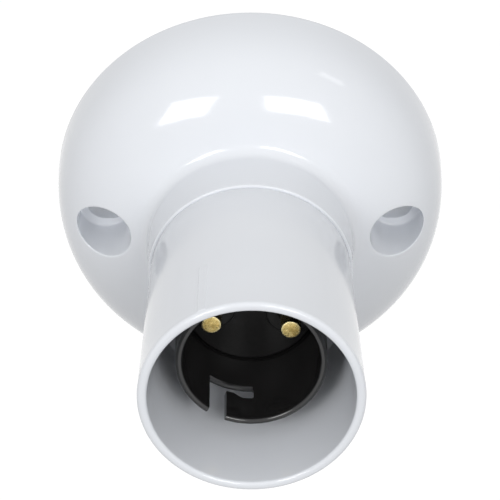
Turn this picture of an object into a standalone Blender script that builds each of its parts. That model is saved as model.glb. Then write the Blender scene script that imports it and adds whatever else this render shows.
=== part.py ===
"""Straight batten lamp holder for a two-pin bayonet lamp, with a long screw-on skirt.

Every piece is drawn about the lamp axis, with its height measured from the
mounting plane towards the mouth. One empty then turns that axis to face -Y,
so the back of the base lies in the plane Y = 0 and the mouth looks forward.
"""
from math import atan2, cos, hypot, pi, radians, sin

import bmesh
import bpy
from mathutils import Matrix, Vector

# Driving dimensions, in metres
GAP = 0.0003                    # clearance between pieces that meet
OVERRUN = 0.001                 # how far a cutter passes the face it opens
WELD = 1e-7                     # points closer than this are one point

# White dome base
BASE_RADIUS = 0.0339
DOME_HEIGHT = 0.02066           # height at which the dome curve would close
DOME_RISE = 2.776               # how square the shoulder of the dome is
DOME_ROUND = 3.33               # how flat the top of the dome is
BASE_WALL = 0.0023
COLLAR_HEIGHT = 0.0298
COLLAR_WALL = 0.00195
COLLAR_TAPER = 0.0002
COLLAR_FILLET = 0.0024
COLLAR_CHAMFER = 0.0005
LEDGE_THICKNESS = 0.0024

# Fixing wells
FIXING_CENTRES = 0.0508
WELL_RADIUS = 0.00475
WELL_FLOOR = 0.0077
WELL_WALL = 0.00185
FIXING_HOLE_RADIUS = 0.0032
FIXING_HOLE_DRAW = 0.0010       # how far the hole is drawn out towards the lamp axis

# White skirt
SKIRT_STEP = 0.0004             # how far the collar stands proud of it
SKIRT_LENGTH = 0.0367
SKIRT_FLARE = 0.00150           # growth in radius from top to mouth
SKIRT_WALL = 0.0016
SKIRT_OUTER_ROUND = 0.0006
SKIRT_INNER_ROUND = 0.0005
SKIRT_CHAMFER = 0.00015
THREAD_LENGTH = 0.0079
THREAD_RUNOUT = 0.0006
MARK_RIB_ANGLE = radians(115.6)
MARK_RIB_WIDTH = 0.0013
MARK_RIB_HEIGHT = 0.00015
MARK_RIB_LENGTH = 0.0136

# Black bayonet barrel
BORE_RADIUS = 0.01135
BARREL_WALL = 0.00115
BARREL_SETBACK = 0.010          # lip of the barrel below the mouth
NECK_STEP = 0.0015
FLANGE_STEP = 0.0012
FLANGE_THICKNESS = 0.0019
NECK_CHAMFER = 0.0005

# Two J slots
SLOT_WIDTH = 0.0032
SLOT_FAR_DEPTH = 0.0095         # lip to the far edge of the run
SLOT_RUN_WIDTH = 0.0023
SLOT_ENTRY_ANGLE = radians(-24.8)
SEAT_END = 0.0013               # middle of the seat to the end of the slot
SEAT_FLAT = 0.0005              # middle of the seat to the start of its slope
SEAT_SLOPE = 0.0021             # middle of the seat to the end of its slope
SEAT_ROUND = 0.0007
SEAT_DIP = 0.0011

# Contact block and its turn about the lamp axis
INNER_TURN = radians(-4.5)
SOCKET_DEPTH = 0.0173           # lip to the floor between the contacts
BOSS_RADIUS = 0.0042
BOSS_HEIGHT = 0.0018
BOSS_CHAMFER = 0.0003
PLATE_THICKNESS = 0.0023
PLATE_HEIGHT = 0.0150           # foot of the screw pillars in the base
LUG_ANGLE = radians(45)
LUG_CIRCLE = 0.0195
LUG_RADIUS = 0.0028
CORE_WIDTH = 0.0134
CORE_FACE = 0.0050
CORE_REACH = 0.0060
CORE_DEPTH = 0.0100
BARRIER_THICKNESS = 0.0016
BARRIER_WIDTH = 0.0190
BARRIER_HEIGHT = 0.0062
KEY_ANGLE = radians(135)
KEY_WIDTH = 0.0020
KEY_DEPTH = 0.0008
KEY_LENGTH = 0.0068

# Contacts
CONTACT_SPACING = 0.01325
PLUNGER_RADIUS = 0.0017
PLUNGER_LENGTH = 0.0162
PLUNGER_PROUD = 0.0051          # tip above its boss
SHOULDER_RADIUS = 0.0022
SHOULDER_THICKNESS = 0.0016
SPIGOT_RADIUS = 0.0012
SPIGOT_LENGTH = 0.0012
TIP_ROUND = 0.00025
TIP_CROWN = 0.0001
SPRING_BORE_RADIUS = 0.0025
SPRING_BORE_DEPTH = 0.0110
SPRING_RADIUS = 0.00185
SPRING_WIRE = 0.0004
SPRING_COILS = 6
END_COILS = 1                   # closed coils at each end of a spring
END_PITCH = 0.00046
POST_RADIUS = 0.0033
POST_STANDOFF = 0.0064
POST_CHAMFER = 0.0003
WIRE_HOLE_RADIUS = 0.0016
WIRE_HOLE_INSET = 0.0036        # end of the post to the wire hole

# Screws
SCREW_SHANK = 0.00145
SCREW_HEAD = 0.0023
SCREW_HEAD_HEIGHT = 0.0016
SCREW_BACKED_OUT = 0.0008       # head to the brass it screws into
SCREW_BITE = 0.0006             # tip past the edge of the wire hole
SCREW_SLOT_WIDTH = 0.0007
SCREW_SLOT_DEPTH = 0.0008
BLOCK_SCREW_SHANK = 0.00125
BLOCK_SCREW_HEAD = 0.0026
BLOCK_SCREW_LENGTH = 0.0048
BLOCK_SCREW_TIP_GAP = 0.0004
POST_SCREW_TURN = radians(25)   # how each kind of screw happens to be turned
BLOCK_SCREW_TURN = radians(60)
LOOP_SCREW_TURN = radians(55)
EARTH_SCREW_TURN = radians(-25)

# Loop and earth terminals
TERMINAL_DEPTH = 0.0064
TERMINAL_HEIGHT = 0.0070
TERMINAL_BEVEL = 0.0004
TERMINAL_HOLE_RADIUS = 0.0017
TERMINAL_INSET = 0.0106         # edge of the base to the middle of a terminal
TERMINAL_HOLE_RISE = 0.0039     # back of a terminal to its wire hole
LOOP_LENGTH = 0.0120
LOOP_SCREW_SPACING = 0.0068
EARTH_LENGTH = 0.0070
POCKET_WALL = 0.0014
POCKET_FLOOR = 0.0120
POCKET_MOUTH = 0.0056
POCKET_NOTCH_WIDTH = 0.0038

# Facets
BIG_TURN = 64
MID_TURN = 40
SMALL_TURN = 20
TINY_TURN = 14
DOME_STEPS = 13
DOME_INNER_STEPS = 7
ROUND_STEPS = 4
SPRING_STEPS = 10

# Worked out from the above
NECK_RADIUS = BORE_RADIUS + BARREL_WALL + NECK_STEP
FLANGE_RADIUS = NECK_RADIUS + FLANGE_STEP
COLLAR_BORE = FLANGE_RADIUS + GAP
COLLAR_RADIUS = COLLAR_BORE + COLLAR_WALL
SKIRT_RADIUS = COLLAR_RADIUS - SKIRT_STEP
MOUTH_RADIUS = SKIRT_RADIUS + SKIRT_FLARE
SKIRT_FOOT = COLLAR_HEIGHT + GAP
MOUTH_HEIGHT = SKIRT_FOOT + SKIRT_LENGTH
LIP_HEIGHT = MOUTH_HEIGHT - BARREL_SETBACK
FLOOR_HEIGHT = LIP_HEIGHT - SOCKET_DEPTH
BOSS_TOP = FLOOR_HEIGHT + BOSS_HEIGHT
LEDGE_HEIGHT = COLLAR_HEIGHT - LEDGE_THICKNESS
FLANGE_TOP = LEDGE_HEIGHT - GAP
FLANGE_FOOT = FLANGE_TOP - FLANGE_THICKNESS
BLOCK_SHOULDER = FLANGE_FOOT - GAP
BLOCK_NOSE_RADIUS = BORE_RADIUS - GAP
PLATE_TOP = PLATE_HEIGHT - GAP
PLATE_FOOT = PLATE_TOP - PLATE_THICKNESS
POST_FOOT = PLATE_FOOT - POST_STANDOFF
PLUNGER_TIP = BOSS_TOP + PLUNGER_PROUD
PLUNGER_FOOT = PLUNGER_TIP - PLUNGER_LENGTH
SHOULDER_FOOT = PLUNGER_FOOT + SPIGOT_LENGTH
SHOULDER_TOP = SHOULDER_FOOT + SHOULDER_THICKNESS
POST_TOP = SHOULDER_TOP
POST_STOP = POST_TOP + GAP
SPRING_FOOT = POST_TOP - SPRING_BORE_DEPTH
WIRE_HOLE_HEIGHT = POST_FOOT + WIRE_HOLE_INSET
WELL_X = FIXING_CENTRES / 2
CONTACT_X = CONTACT_SPACING / 2
TERMINAL_CIRCLE = BASE_RADIUS - TERMINAL_INSET
TERMINAL_TOP = POCKET_FLOOR - GAP
TERMINAL_FOOT = TERMINAL_TOP - TERMINAL_HEIGHT
TERMINAL_HOLE_HEIGHT = TERMINAL_FOOT + TERMINAL_HOLE_RISE


def clear_scene():
    for thing in list(bpy.data.objects):
        bpy.data.objects.remove(thing, do_unlink=True)


def plain_material(name, colour, roughness, metallic=0.0):
    """One Principled surface with a colour, roughness and metallic value."""
    made = bpy.data.materials.new(name)
    made.use_nodes = True
    shader = made.node_tree.nodes["Principled BSDF"]
    shader.inputs["Base Color"].default_value = (*colour, 1.0)
    shader.inputs["Roughness"].default_value = roughness
    shader.inputs["Metallic"].default_value = metallic
    made.diffuse_color = (*colour, 1.0)
    return made


def frame_empty(name, parent=None, rotation=(0, 0, 0)):
    made = bpy.data.objects.new(name, None)
    bpy.context.scene.collection.objects.link(made)
    made.rotation_euler = rotation
    made.parent = parent
    return made


def place(name, mesh, parent, surface=None, location=(0, 0, 0), turn=0.0):
    """Make a named object of a mesh, under a parent and turned about the lamp axis."""
    made = bpy.data.objects.new(name, mesh)
    bpy.context.scene.collection.objects.link(made)
    made.parent = parent
    made.location = location
    made.rotation_euler = (0, 0, turn)
    if surface is not None:
        mesh.materials.append(surface)
    return made


def hide_tool(tool):
    """A cutter or an added form: seen as wire, and no piece of the object."""
    tool.hide_render = True
    tool.display_type = "WIRE"
    return tool


def finish_mesh(name, bm):
    bmesh.ops.recalc_face_normals(bm, faces=bm.faces)
    mesh = bpy.data.meshes.new(name)
    bm.to_mesh(mesh)
    bm.free()
    mesh.shade_smooth()
    mesh.set_sharp_from_angle(angle=radians(35))
    return mesh


def arc(centre, radius, start, end, steps=ROUND_STEPS):
    """Points of a round edge in a turned section, as (radius, height)."""
    points = []
    for i in range(steps + 1):
        angle = start + (end - start) * i / steps
        points.append((centre[0] + radius * cos(angle), centre[1] + radius * sin(angle)))
    return points


def turned_mesh(name, section, sides):
    """Spin a section of (radius, height) points about the lamp axis.

    A section that starts and ends on the axis is an open chain; any other
    section is a closed loop and gives a ring.
    """
    bm = bmesh.new()
    verts = [bm.verts.new((r, 0, z)) for r, z in section]
    edges = [bm.edges.new(pair) for pair in zip(verts, verts[1:])]
    on_axis = section[0][0] == 0 and section[-1][0] == 0
    if not on_axis:
        edges.append(bm.edges.new((verts[-1], verts[0])))
    bmesh.ops.spin(bm, geom=verts + edges, cent=(0, 0, 0), axis=(0, 0, 1),
                   angle=2 * pi, steps=sides, use_merge=True)
    bmesh.ops.remove_doubles(bm, verts=bm.verts, dist=WELD)
    for vert in [v for v in bm.verts if hypot(v.co.x, v.co.y) < WELD]:
        heights = [v.co.z for face in vert.link_faces for v in face.verts]
        if max(heights) - min(heights) < WELD:
            bmesh.ops.dissolve_verts(bm, verts=[vert])
    return finish_mesh(name, bm)


def rod_mesh(name, radius, low, high, sides):
    """A plain round rod along the height, with one face at each end."""
    bm = bmesh.new()
    middle = Matrix.Translation((0, 0, (low + high) / 2))
    bmesh.ops.create_cone(bm, cap_ends=True, segments=sides, radius1=radius, radius2=radius,
                          depth=high - low, matrix=middle)
    return finish_mesh(name, bm)


def drawn_hole_mesh(name, radius, draw, low, high, sides):
    """A rod whose round section is drawn out along X by a signed length."""
    away = 1 if draw > 0 else -1
    turns = [pi * i / (sides // 2) for i in range(sides // 2 + 1)]
    ring = [(-away * radius * sin(t), radius * cos(t)) for t in turns]
    ring += [(draw + away * radius * sin(t), -radius * cos(t)) for t in turns]
    bm = bmesh.new()
    foot = bm.faces.new([bm.verts.new((x, y, low)) for x, y in ring])
    top = bmesh.ops.extrude_face_region(bm, geom=[foot], use_keep_orig=True)["geom"]
    moved = [v for v in top if isinstance(v, bmesh.types.BMVert)]
    bmesh.ops.translate(bm, verts=moved, vec=(0, 0, high - low))
    return finish_mesh(name, bm)


def box_mesh(name, low, high):
    bm = bmesh.new()
    size = [b - a for a, b in zip(low, high)]
    middle = Vector([(a + b) / 2 for a, b in zip(low, high)])
    matrix = Matrix.Translation(middle) @ Matrix.Diagonal((*size, 1))
    bmesh.ops.create_cube(bm, size=1, matrix=matrix)
    return finish_mesh(name, bm)


def boolean(piece, tool, operation):
    change = piece.modifiers.new(tool.name, "BOOLEAN")
    change.operation = operation
    change.solver = "EXACT"
    change.object = tool
    return piece


def cut(piece, tool):
    return boolean(piece, hide_tool(tool), "DIFFERENCE")


def add(piece, tool):
    return boolean(piece, hide_tool(tool), "UNION")


def dome_point(angle, radius, height):
    """A point of the dome curve, from its rim at 0 to its top at pi / 2."""
    return (radius * cos(angle) ** (2 / DOME_ROUND), height * sin(angle) ** (2 / DOME_RISE))


def dome_angle_where(test):
    """The first angle along the dome curve, from its rim, at which a test holds."""
    low, high = 0.0, pi / 2
    for _ in range(50):
        middle = (low + high) / 2
        if test(middle):
            high = middle
        else:
            low = middle
    return high


def fillet_of_collar(foot_radius):
    """Where the round of the collar leaves the dome, its centre and its start angle.

    The round touches the dome from outside, so its centre stands its own
    radius off the dome curve, along the curve's normal.
    """
    def centre_for(angle):
        step = 1e-5
        r0, z0 = dome_point(angle - step, BASE_RADIUS, DOME_HEIGHT)
        r1, z1 = dome_point(angle + step, BASE_RADIUS, DOME_HEIGHT)
        length = hypot(r1 - r0, z1 - z0)
        r, z = dome_point(angle, BASE_RADIUS, DOME_HEIGHT)
        out_r = (z1 - z0) / length
        out_z = (r0 - r1) / length
        return r + COLLAR_FILLET * out_r, z + COLLAR_FILLET * out_z

    wanted = foot_radius + COLLAR_FILLET
    angle = dome_angle_where(lambda a: a > 0.001 and centre_for(a)[0] < wanted)
    centre = centre_for(angle)
    touch = dome_point(angle, BASE_RADIUS, DOME_HEIGHT)
    return angle, centre, atan2(touch[1] - centre[1], touch[0] - centre[0])


def dome_section():
    """Section of the hollow base: dome, collar, ledge and inside.

    The rim runs past the mounting plane, which trims the whole back at the end.
    """
    collar_foot = COLLAR_RADIUS + COLLAR_TAPER
    leave, centre, start = fillet_of_collar(collar_foot)
    points = [(BASE_RADIUS, -OVERRUN)]
    for i in range(DOME_STEPS + 1):
        points.append(dome_point(leave * i / DOME_STEPS, BASE_RADIUS, DOME_HEIGHT))
    points += arc(centre, COLLAR_FILLET, start, -pi, ROUND_STEPS + 2)[1:]
    points += [
        (COLLAR_RADIUS, COLLAR_HEIGHT - COLLAR_CHAMFER),
        (COLLAR_RADIUS - COLLAR_CHAMFER, COLLAR_HEIGHT),
        (NECK_RADIUS + GAP, COLLAR_HEIGHT),
        (NECK_RADIUS + GAP, LEDGE_HEIGHT),
        (COLLAR_BORE, LEDGE_HEIGHT),
    ]
    inner_radius = BASE_RADIUS - BASE_WALL
    inner_height = DOME_HEIGHT - BASE_WALL
    last = dome_angle_where(lambda a: dome_point(a, inner_radius, inner_height)[0] < COLLAR_BORE)
    for i in range(DOME_INNER_STEPS + 1):
        angle = last * (1 - i / DOME_INNER_STEPS)
        points.append(dome_point(angle, inner_radius, inner_height))
    points.append((inner_radius, -OVERRUN))
    return points


def dome_core_mesh():
    """A solid dome that ends inside the wall, to trim what stands in the base."""
    radius = BASE_RADIUS - BASE_WALL / 2
    height = DOME_HEIGHT - BASE_WALL / 2
    steps = DOME_INNER_STEPS
    points = [(0, -3 * OVERRUN), (radius, -3 * OVERRUN)]
    for i in range(steps):
        points.append(dome_point(pi / 2 * i / steps, radius, height))
    points.append((0, height))
    return turned_mesh("dome_core", points, BIG_TURN)


def terminal_pocket(parent, name, length, side):
    """Moulded walls round one brass terminal, and the hollow inside them."""
    outer_x = length / 2 + GAP + POCKET_WALL
    outer_y = TERMINAL_DEPTH / 2 + GAP + POCKET_WALL
    inner_x = length / 2 + GAP
    inner_y = TERMINAL_DEPTH / 2 + GAP
    middle = side * TERMINAL_CIRCLE
    walls = box_mesh(name + "_walls", (-outer_x, middle - outer_y, POCKET_MOUTH),
                     (outer_x, middle + outer_y, DOME_HEIGHT))
    hollow = box_mesh(name + "_hollow", (-inner_x, middle - inner_y, -OVERRUN),
                      (inner_x, middle + inner_y, POCKET_FLOOR))
    half_notch = POCKET_NOTCH_WIDTH / 2
    notch_top = TERMINAL_HOLE_HEIGHT + half_notch
    notch = box_mesh(name + "_notch", (-outer_x - OVERRUN, middle - half_notch, -OVERRUN),
                     (outer_x + OVERRUN, middle + half_notch, notch_top))
    return (place(name + "_walls", walls, parent), place(name + "_hollow", hollow, parent),
            place(name + "_notch", notch, parent))


def lug_places():
    for turn in (LUG_ANGLE, LUG_ANGLE + pi):
        yield LUG_CIRCLE * cos(turn), LUG_CIRCLE * sin(turn)


def make_dome_base(outer, inner, white):
    base = place("dome_base", turned_mesh("dome_base", dome_section(), BIG_TURN), outer, white)
    core = hide_tool(place("dome_core", dome_core_mesh(), outer))

    for side, word in ((-1, "left"), (1, "right")):
        boss = place("well_boss_" + word, rod_mesh("well_boss", WELL_RADIUS + WELL_WALL,
                     -2 * OVERRUN, DOME_HEIGHT, MID_TURN), outer, location=(side * WELL_X, 0, 0))
        boolean(boss, core, "INTERSECT")
        add(base, boss)
    for number, (x, y) in enumerate(lug_places()):
        pillar = place(f"pillar_{number}", rod_mesh("pillar", LUG_RADIUS, PLATE_HEIGHT,
                       DOME_HEIGHT, SMALL_TURN), inner, location=(x, y, 0))
        boolean(pillar, core, "INTERSECT")
        add(base, pillar)
    cuts = []
    for name, length, side in (("loop_pocket", LOOP_LENGTH, 1), ("earth_pocket", EARTH_LENGTH, -1)):
        walls, hollow, notch = terminal_pocket(outer, name, length, side)
        boolean(walls, core, "INTERSECT")
        add(base, walls)
        cuts += [hollow, notch]
    key = box_mesh("key", (COLLAR_BORE - KEY_DEPTH, -KEY_WIDTH / 2, LEDGE_HEIGHT - KEY_LENGTH),
                   (COLLAR_BORE + KEY_DEPTH, KEY_WIDTH / 2, LEDGE_HEIGHT + KEY_DEPTH))
    add(base, place("key", key, inner, turn=KEY_ANGLE))

    for side, word in ((-1, "left"), (1, "right")):
        well = rod_mesh("well", WELL_RADIUS, WELL_FLOOR, DOME_HEIGHT + OVERRUN, MID_TURN)
        hole = drawn_hole_mesh("fixing_hole", FIXING_HOLE_RADIUS, -side * FIXING_HOLE_DRAW,
                               -3 * OVERRUN, WELL_FLOOR + OVERRUN, SMALL_TURN)
        cut(base, place("well_" + word, well, outer, location=(side * WELL_X, 0, 0)))
        cut(base, place("fixing_hole_" + word, hole, outer, location=(side * WELL_X, 0, 0)))
    pilot_end = PLATE_FOOT - GAP + BLOCK_SCREW_LENGTH + BLOCK_SCREW_TIP_GAP
    for number, (x, y) in enumerate(lug_places()):
        pilot = rod_mesh("pilot", BLOCK_SCREW_SHANK + GAP, PLATE_HEIGHT - OVERRUN, pilot_end, TINY_TURN)
        cut(base, place(f"pilot_{number}", pilot, inner, location=(x, y, 0)))
    for tool in cuts:
        cut(base, tool)
    behind = rod_mesh("behind_the_wall_plane", BASE_RADIUS + 2 * OVERRUN, -4 * OVERRUN, 0, TINY_TURN)
    return cut(base, place("behind_the_wall_plane", behind, outer))


def make_skirt(outer, white):
    """The long screw-on skirt: thread band at its foot, flared wall, rounded mouth."""
    band_top = SKIRT_FOOT + THREAD_LENGTH
    band_bore = NECK_RADIUS + GAP
    inner_foot = SKIRT_RADIUS + SKIRT_FLARE * (band_top - SKIRT_FOOT) / SKIRT_LENGTH - SKIRT_WALL
    inner_mouth = MOUTH_RADIUS - SKIRT_WALL
    outer_round = (MOUTH_RADIUS - SKIRT_OUTER_ROUND, MOUTH_HEIGHT - SKIRT_OUTER_ROUND)
    inner_round = (inner_mouth + SKIRT_INNER_ROUND, MOUTH_HEIGHT - SKIRT_INNER_ROUND)
    section = [(band_bore, SKIRT_FOOT), (SKIRT_RADIUS - SKIRT_CHAMFER, SKIRT_FOOT),
               (SKIRT_RADIUS, SKIRT_FOOT + SKIRT_CHAMFER)]
    section += arc(outer_round, SKIRT_OUTER_ROUND, 0, pi / 2)
    section += arc(inner_round, SKIRT_INNER_ROUND, pi / 2, pi, ROUND_STEPS - 1)
    section += [(inner_foot, band_top + THREAD_RUNOUT), (band_bore, band_top)]
    skirt = place("skirt", turned_mesh("skirt", section, BIG_TURN), outer, white)

    tilt = atan2(SKIRT_FLARE, SKIRT_LENGTH)
    rib = box_mesh("mark_rib", (-SKIRT_WALL / 2, -MARK_RIB_WIDTH / 2, -MARK_RIB_LENGTH),
                   (MARK_RIB_HEIGHT, MARK_RIB_WIDTH / 2, 0))
    rib.transform(Matrix.Rotation(tilt, 4, "Y"))
    reach = MOUTH_RADIUS * cos(tilt)
    seat = (reach * cos(MARK_RIB_ANGLE), reach * sin(MARK_RIB_ANGLE), MOUTH_HEIGHT - SKIRT_OUTER_ROUND)
    return add(skirt, place("mark_rib", rib, outer, location=seat, turn=MARK_RIB_ANGLE))


def slot_outline():
    """Outline of one J slot as (arc length round the bore, height), seat at zero."""
    entry = SLOT_ENTRY_ANGLE * BORE_RADIUS
    half = SLOT_WIDTH / 2
    far = LIP_HEIGHT - SLOT_FAR_DEPTH
    near = far + SLOT_RUN_WIDTH
    seat = near + SEAT_DIP
    open_end = LIP_HEIGHT + OVERRUN
    corner = SLOT_RUN_WIDTH / 4
    outline = [(entry - half, open_end), (entry - half, far + corner)]
    outline += arc((entry - half + corner, far + corner), corner, pi, 3 * pi / 2, 2)[1:]
    outline += arc((SEAT_END - corner, far + corner), corner, -pi / 2, 0, 2)
    outline += arc((SEAT_END - SEAT_ROUND, seat - SEAT_ROUND), SEAT_ROUND, 0, pi / 2)
    outline += [(-SEAT_FLAT, seat), (-SEAT_SLOPE, near), (entry + half + corner / 2, near),
                (entry + half, near + corner / 2), (entry + half, open_end)]
    return outline


def slot_mesh():
    """The slot outline wrapped round the barrel, and thick enough to pass its wall."""
    bm = bmesh.new()
    layers = []
    for radius in (BORE_RADIUS - OVERRUN, BORE_RADIUS + BARREL_WALL + OVERRUN):
        layer = []
        for along, height in slot_outline():
            angle = along / BORE_RADIUS - pi / 2
            layer.append(bm.verts.new((radius * cos(angle), radius * sin(angle), height)))
        layers.append(layer)
    count = len(layers[0])
    for i in range(count):
        j = (i + 1) % count
        bm.faces.new((layers[0][i], layers[0][j], layers[1][j], layers[1][i]))
    for layer in layers:
        bmesh.ops.triangulate(bm, faces=[bm.faces.new(layer)])
    return finish_mesh("j_slot", bm)


def key_notch(parent, name):
    """Room for the key of the collar in the rim of a round piece."""
    half = KEY_WIDTH / 2 + GAP
    notch = box_mesh(name, (COLLAR_BORE - KEY_DEPTH - GAP, -half, -OVERRUN),
                     (COLLAR_BORE + OVERRUN, half, COLLAR_HEIGHT + OVERRUN))
    return place(name, notch, parent, turn=KEY_ANGLE)


def make_barrel(inner, black):
    """The bayonet barrel: flange, threaded neck and a round-lipped tube with two J slots."""
    tube = BORE_RADIUS + BARREL_WALL
    neck_top = SKIRT_FOOT + THREAD_LENGTH + GAP
    lip = (BORE_RADIUS + BARREL_WALL / 2, LIP_HEIGHT - BARREL_WALL / 2)
    section = [(BORE_RADIUS, FLANGE_FOOT), (FLANGE_RADIUS, FLANGE_FOOT), (FLANGE_RADIUS, FLANGE_TOP),
               (NECK_RADIUS, FLANGE_TOP), (NECK_RADIUS, neck_top - NECK_CHAMFER),
               (NECK_RADIUS - NECK_CHAMFER, neck_top), (tube, neck_top)]
    section += arc(lip, BARREL_WALL / 2, 0, pi)
    barrel = place("bayonet_barrel", turned_mesh("bayonet_barrel", section, BIG_TURN), inner, black)
    for number, turn in enumerate((0, pi)):
        cut(barrel, place(f"j_slot_{number}", slot_mesh(), inner, turn=turn))
    return cut(barrel, key_notch(inner, "barrel_notch"))


def make_contact_block(inner, black):
    """The black moulding that carries the contacts: nose, shoulder, plate and lugs."""
    section = [(0, PLATE_FOOT), (FLANGE_RADIUS, PLATE_FOOT), (FLANGE_RADIUS, BLOCK_SHOULDER),
               (BLOCK_NOSE_RADIUS, BLOCK_SHOULDER), (BLOCK_NOSE_RADIUS, FLOOR_HEIGHT - GAP),
               (BLOCK_NOSE_RADIUS - GAP, FLOOR_HEIGHT), (0, FLOOR_HEIGHT)]
    block = place("contact_block", turned_mesh("contact_block", section, MID_TURN), inner, black)

    for side, word in ((-1, "left"), (1, "right")):
        boss = turned_mesh("boss", [(0, FLOOR_HEIGHT - OVERRUN), (BOSS_RADIUS, FLOOR_HEIGHT - OVERRUN),
                           (BOSS_RADIUS, BOSS_TOP - BOSS_CHAMFER), (BOSS_RADIUS - BOSS_CHAMFER, BOSS_TOP),
                           (0, BOSS_TOP)], SMALL_TURN)
        add(block, place("boss_" + word, boss, inner, location=(side * CONTACT_X, 0, 0)))
    for number, (x, y) in enumerate(lug_places()):
        turn = atan2(y, x)
        arm = box_mesh("lug_arm", (BLOCK_NOSE_RADIUS, -LUG_RADIUS, PLATE_FOOT),
                       (LUG_CIRCLE, LUG_RADIUS, PLATE_TOP))
        add(block, place(f"lug_arm_{number}", arm, inner, turn=turn))
        end = rod_mesh("lug_end", LUG_RADIUS, PLATE_FOOT, PLATE_TOP, SMALL_TURN)
        add(block, place(f"lug_end_{number}", end, inner, location=(x, y, 0)))
    barrier = box_mesh("barrier", (-BARRIER_THICKNESS / 2, -BARRIER_WIDTH / 2, PLATE_FOOT - BARRIER_HEIGHT),
                       (BARRIER_THICKNESS / 2, BARRIER_WIDTH / 2, PLATE_TOP))
    add(block, place("barrier", barrier, inner))

    for side, word in ((-1, "left"), (1, "right")):
        where = (side * CONTACT_X, 0, 0)
        bore = rod_mesh("post_bore", POST_RADIUS + GAP, -OVERRUN, POST_STOP, SMALL_TURN)
        cut(block, place("post_bore_" + word, bore, inner, location=where))
        guide = rod_mesh("guide", PLUNGER_RADIUS + GAP, SPRING_FOOT, BOSS_TOP + OVERRUN, SMALL_TURN)
        cut(block, place("guide_" + word, guide, inner, location=where))
    for number, (across, up) in enumerate(((-1, -1), (1, -1), (-1, 1), (1, 1))):
        xs = sorted((across * BARRIER_THICKNESS / 2, across * CORE_WIDTH / 2))
        ys = sorted((up * CORE_FACE, up * (CORE_FACE + CORE_REACH)))
        core = box_mesh("core", (xs[0], ys[0], PLATE_FOOT - OVERRUN), (xs[1], ys[1], PLATE_FOOT + CORE_DEPTH))
        cut(block, place(f"core_{number}", core, inner))
    for number, (x, y) in enumerate(lug_places()):
        hole = rod_mesh("lug_hole", BLOCK_SCREW_SHANK + GAP, PLATE_FOOT - OVERRUN,
                        PLATE_TOP + OVERRUN, TINY_TURN)
        cut(block, place(f"lug_hole_{number}", hole, inner, location=(x, y, 0)))
    return cut(block, key_notch(inner, "block_notch"))


def make_plunger(name, parent, brass, location):
    """A round-tipped contact pin with a shoulder that stops it in its guide."""
    tip = (PLUNGER_RADIUS - TIP_ROUND, PLUNGER_TIP - TIP_ROUND)
    section = [(0, PLUNGER_FOOT), (SPIGOT_RADIUS, PLUNGER_FOOT), (SPIGOT_RADIUS, SHOULDER_FOOT),
               (SHOULDER_RADIUS, SHOULDER_FOOT), (SHOULDER_RADIUS, SHOULDER_TOP),
               (PLUNGER_RADIUS, SHOULDER_TOP)]
    section += arc(tip, TIP_ROUND, 0, pi / 2, ROUND_STEPS - 1)
    section.append((0, PLUNGER_TIP + TIP_CROWN))
    return place(name, turned_mesh(name, section, SMALL_TURN), parent, brass, location)


def make_spring(name, parent, steel, location):
    """A compression spring with a closed coil at each end."""
    low = SPRING_FOOT + GAP + SPRING_WIRE / 2
    high = SHOULDER_FOOT - GAP - SPRING_WIRE / 2
    open_coils = SPRING_COILS - 2 * END_COILS
    open_pitch = (high - low - 2 * END_COILS * END_PITCH) / open_coils
    count = SPRING_COILS * SPRING_STEPS
    curve = bpy.data.curves.new(name, "CURVE")
    curve.dimensions = "3D"
    curve.bevel_depth = SPRING_WIRE / 2
    curve.bevel_resolution = 1
    curve.use_fill_caps = True
    line = curve.splines.new("POLY")
    line.points.add(count)
    for i in range(count + 1):
        turn = i / SPRING_STEPS
        height = low + min(turn, END_COILS) * END_PITCH
        height += min(max(turn - END_COILS, 0), open_coils) * open_pitch
        height += max(turn - END_COILS - open_coils, 0) * END_PITCH
        angle = 2 * pi * turn
        line.points[i].co = (SPRING_RADIUS * cos(angle), SPRING_RADIUS * sin(angle), height, 1)
    return place(name, curve, parent, steel, location)


def make_post(name, parent, brass, location):
    """A brass terminal post: spring bore in front, screw hole and wire hole behind."""
    screw_hole = SCREW_SHANK + GAP
    hole_end = WIRE_HOLE_HEIGHT + WIRE_HOLE_RADIUS + GAP
    section = [(0, SPRING_FOOT), (SPRING_BORE_RADIUS, SPRING_FOOT), (SPRING_BORE_RADIUS, POST_TOP),
               (POST_RADIUS, POST_TOP), (POST_RADIUS, POST_FOOT + POST_CHAMFER),
               (POST_RADIUS - POST_CHAMFER, POST_FOOT), (screw_hole, POST_FOOT), (screw_hole, hole_end),
               (0, hole_end)]
    post = place(name, turned_mesh(name, section, SMALL_TURN), parent, brass, location)
    half = POST_RADIUS + OVERRUN
    hole = rod_mesh(name + "_wire_hole", WIRE_HOLE_RADIUS, -half, half, TINY_TURN)
    hole.transform(Matrix.Translation((0, 0, WIRE_HOLE_HEIGHT)) @ Matrix.Rotation(pi / 2, 4, "X"))
    return cut(post, place(name + "_wire_hole", hole, parent, location=location))


def screw_mesh(name, shank, head, head_height, head_foot, tip):
    """A slotted cheese-head screw whose head faces the back."""
    chamfer = GAP
    section = [(0, head_foot), (head - chamfer, head_foot), (head, head_foot + chamfer),
               (head, head_foot + head_height), (shank, head_foot + head_height), (shank, tip - chamfer),
               (shank - chamfer, tip), (0, tip)]
    return turned_mesh(name, section, TINY_TURN)


def make_screw(name, parent, steel, location, shank, head, head_foot, tip, turn=0.0):
    mesh = screw_mesh(name, shank, head, SCREW_HEAD_HEIGHT, head_foot, tip)
    screw = place(name, mesh, parent, steel, location)
    half = SCREW_SLOT_WIDTH / 2
    slot = box_mesh(name + "_slot", (-head - OVERRUN, -half, head_foot - OVERRUN),
                    (head + OVERRUN, half, head_foot + SCREW_SLOT_DEPTH))
    return cut(screw, place(name + "_slot", slot, parent, location=location, turn=turn))


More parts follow.
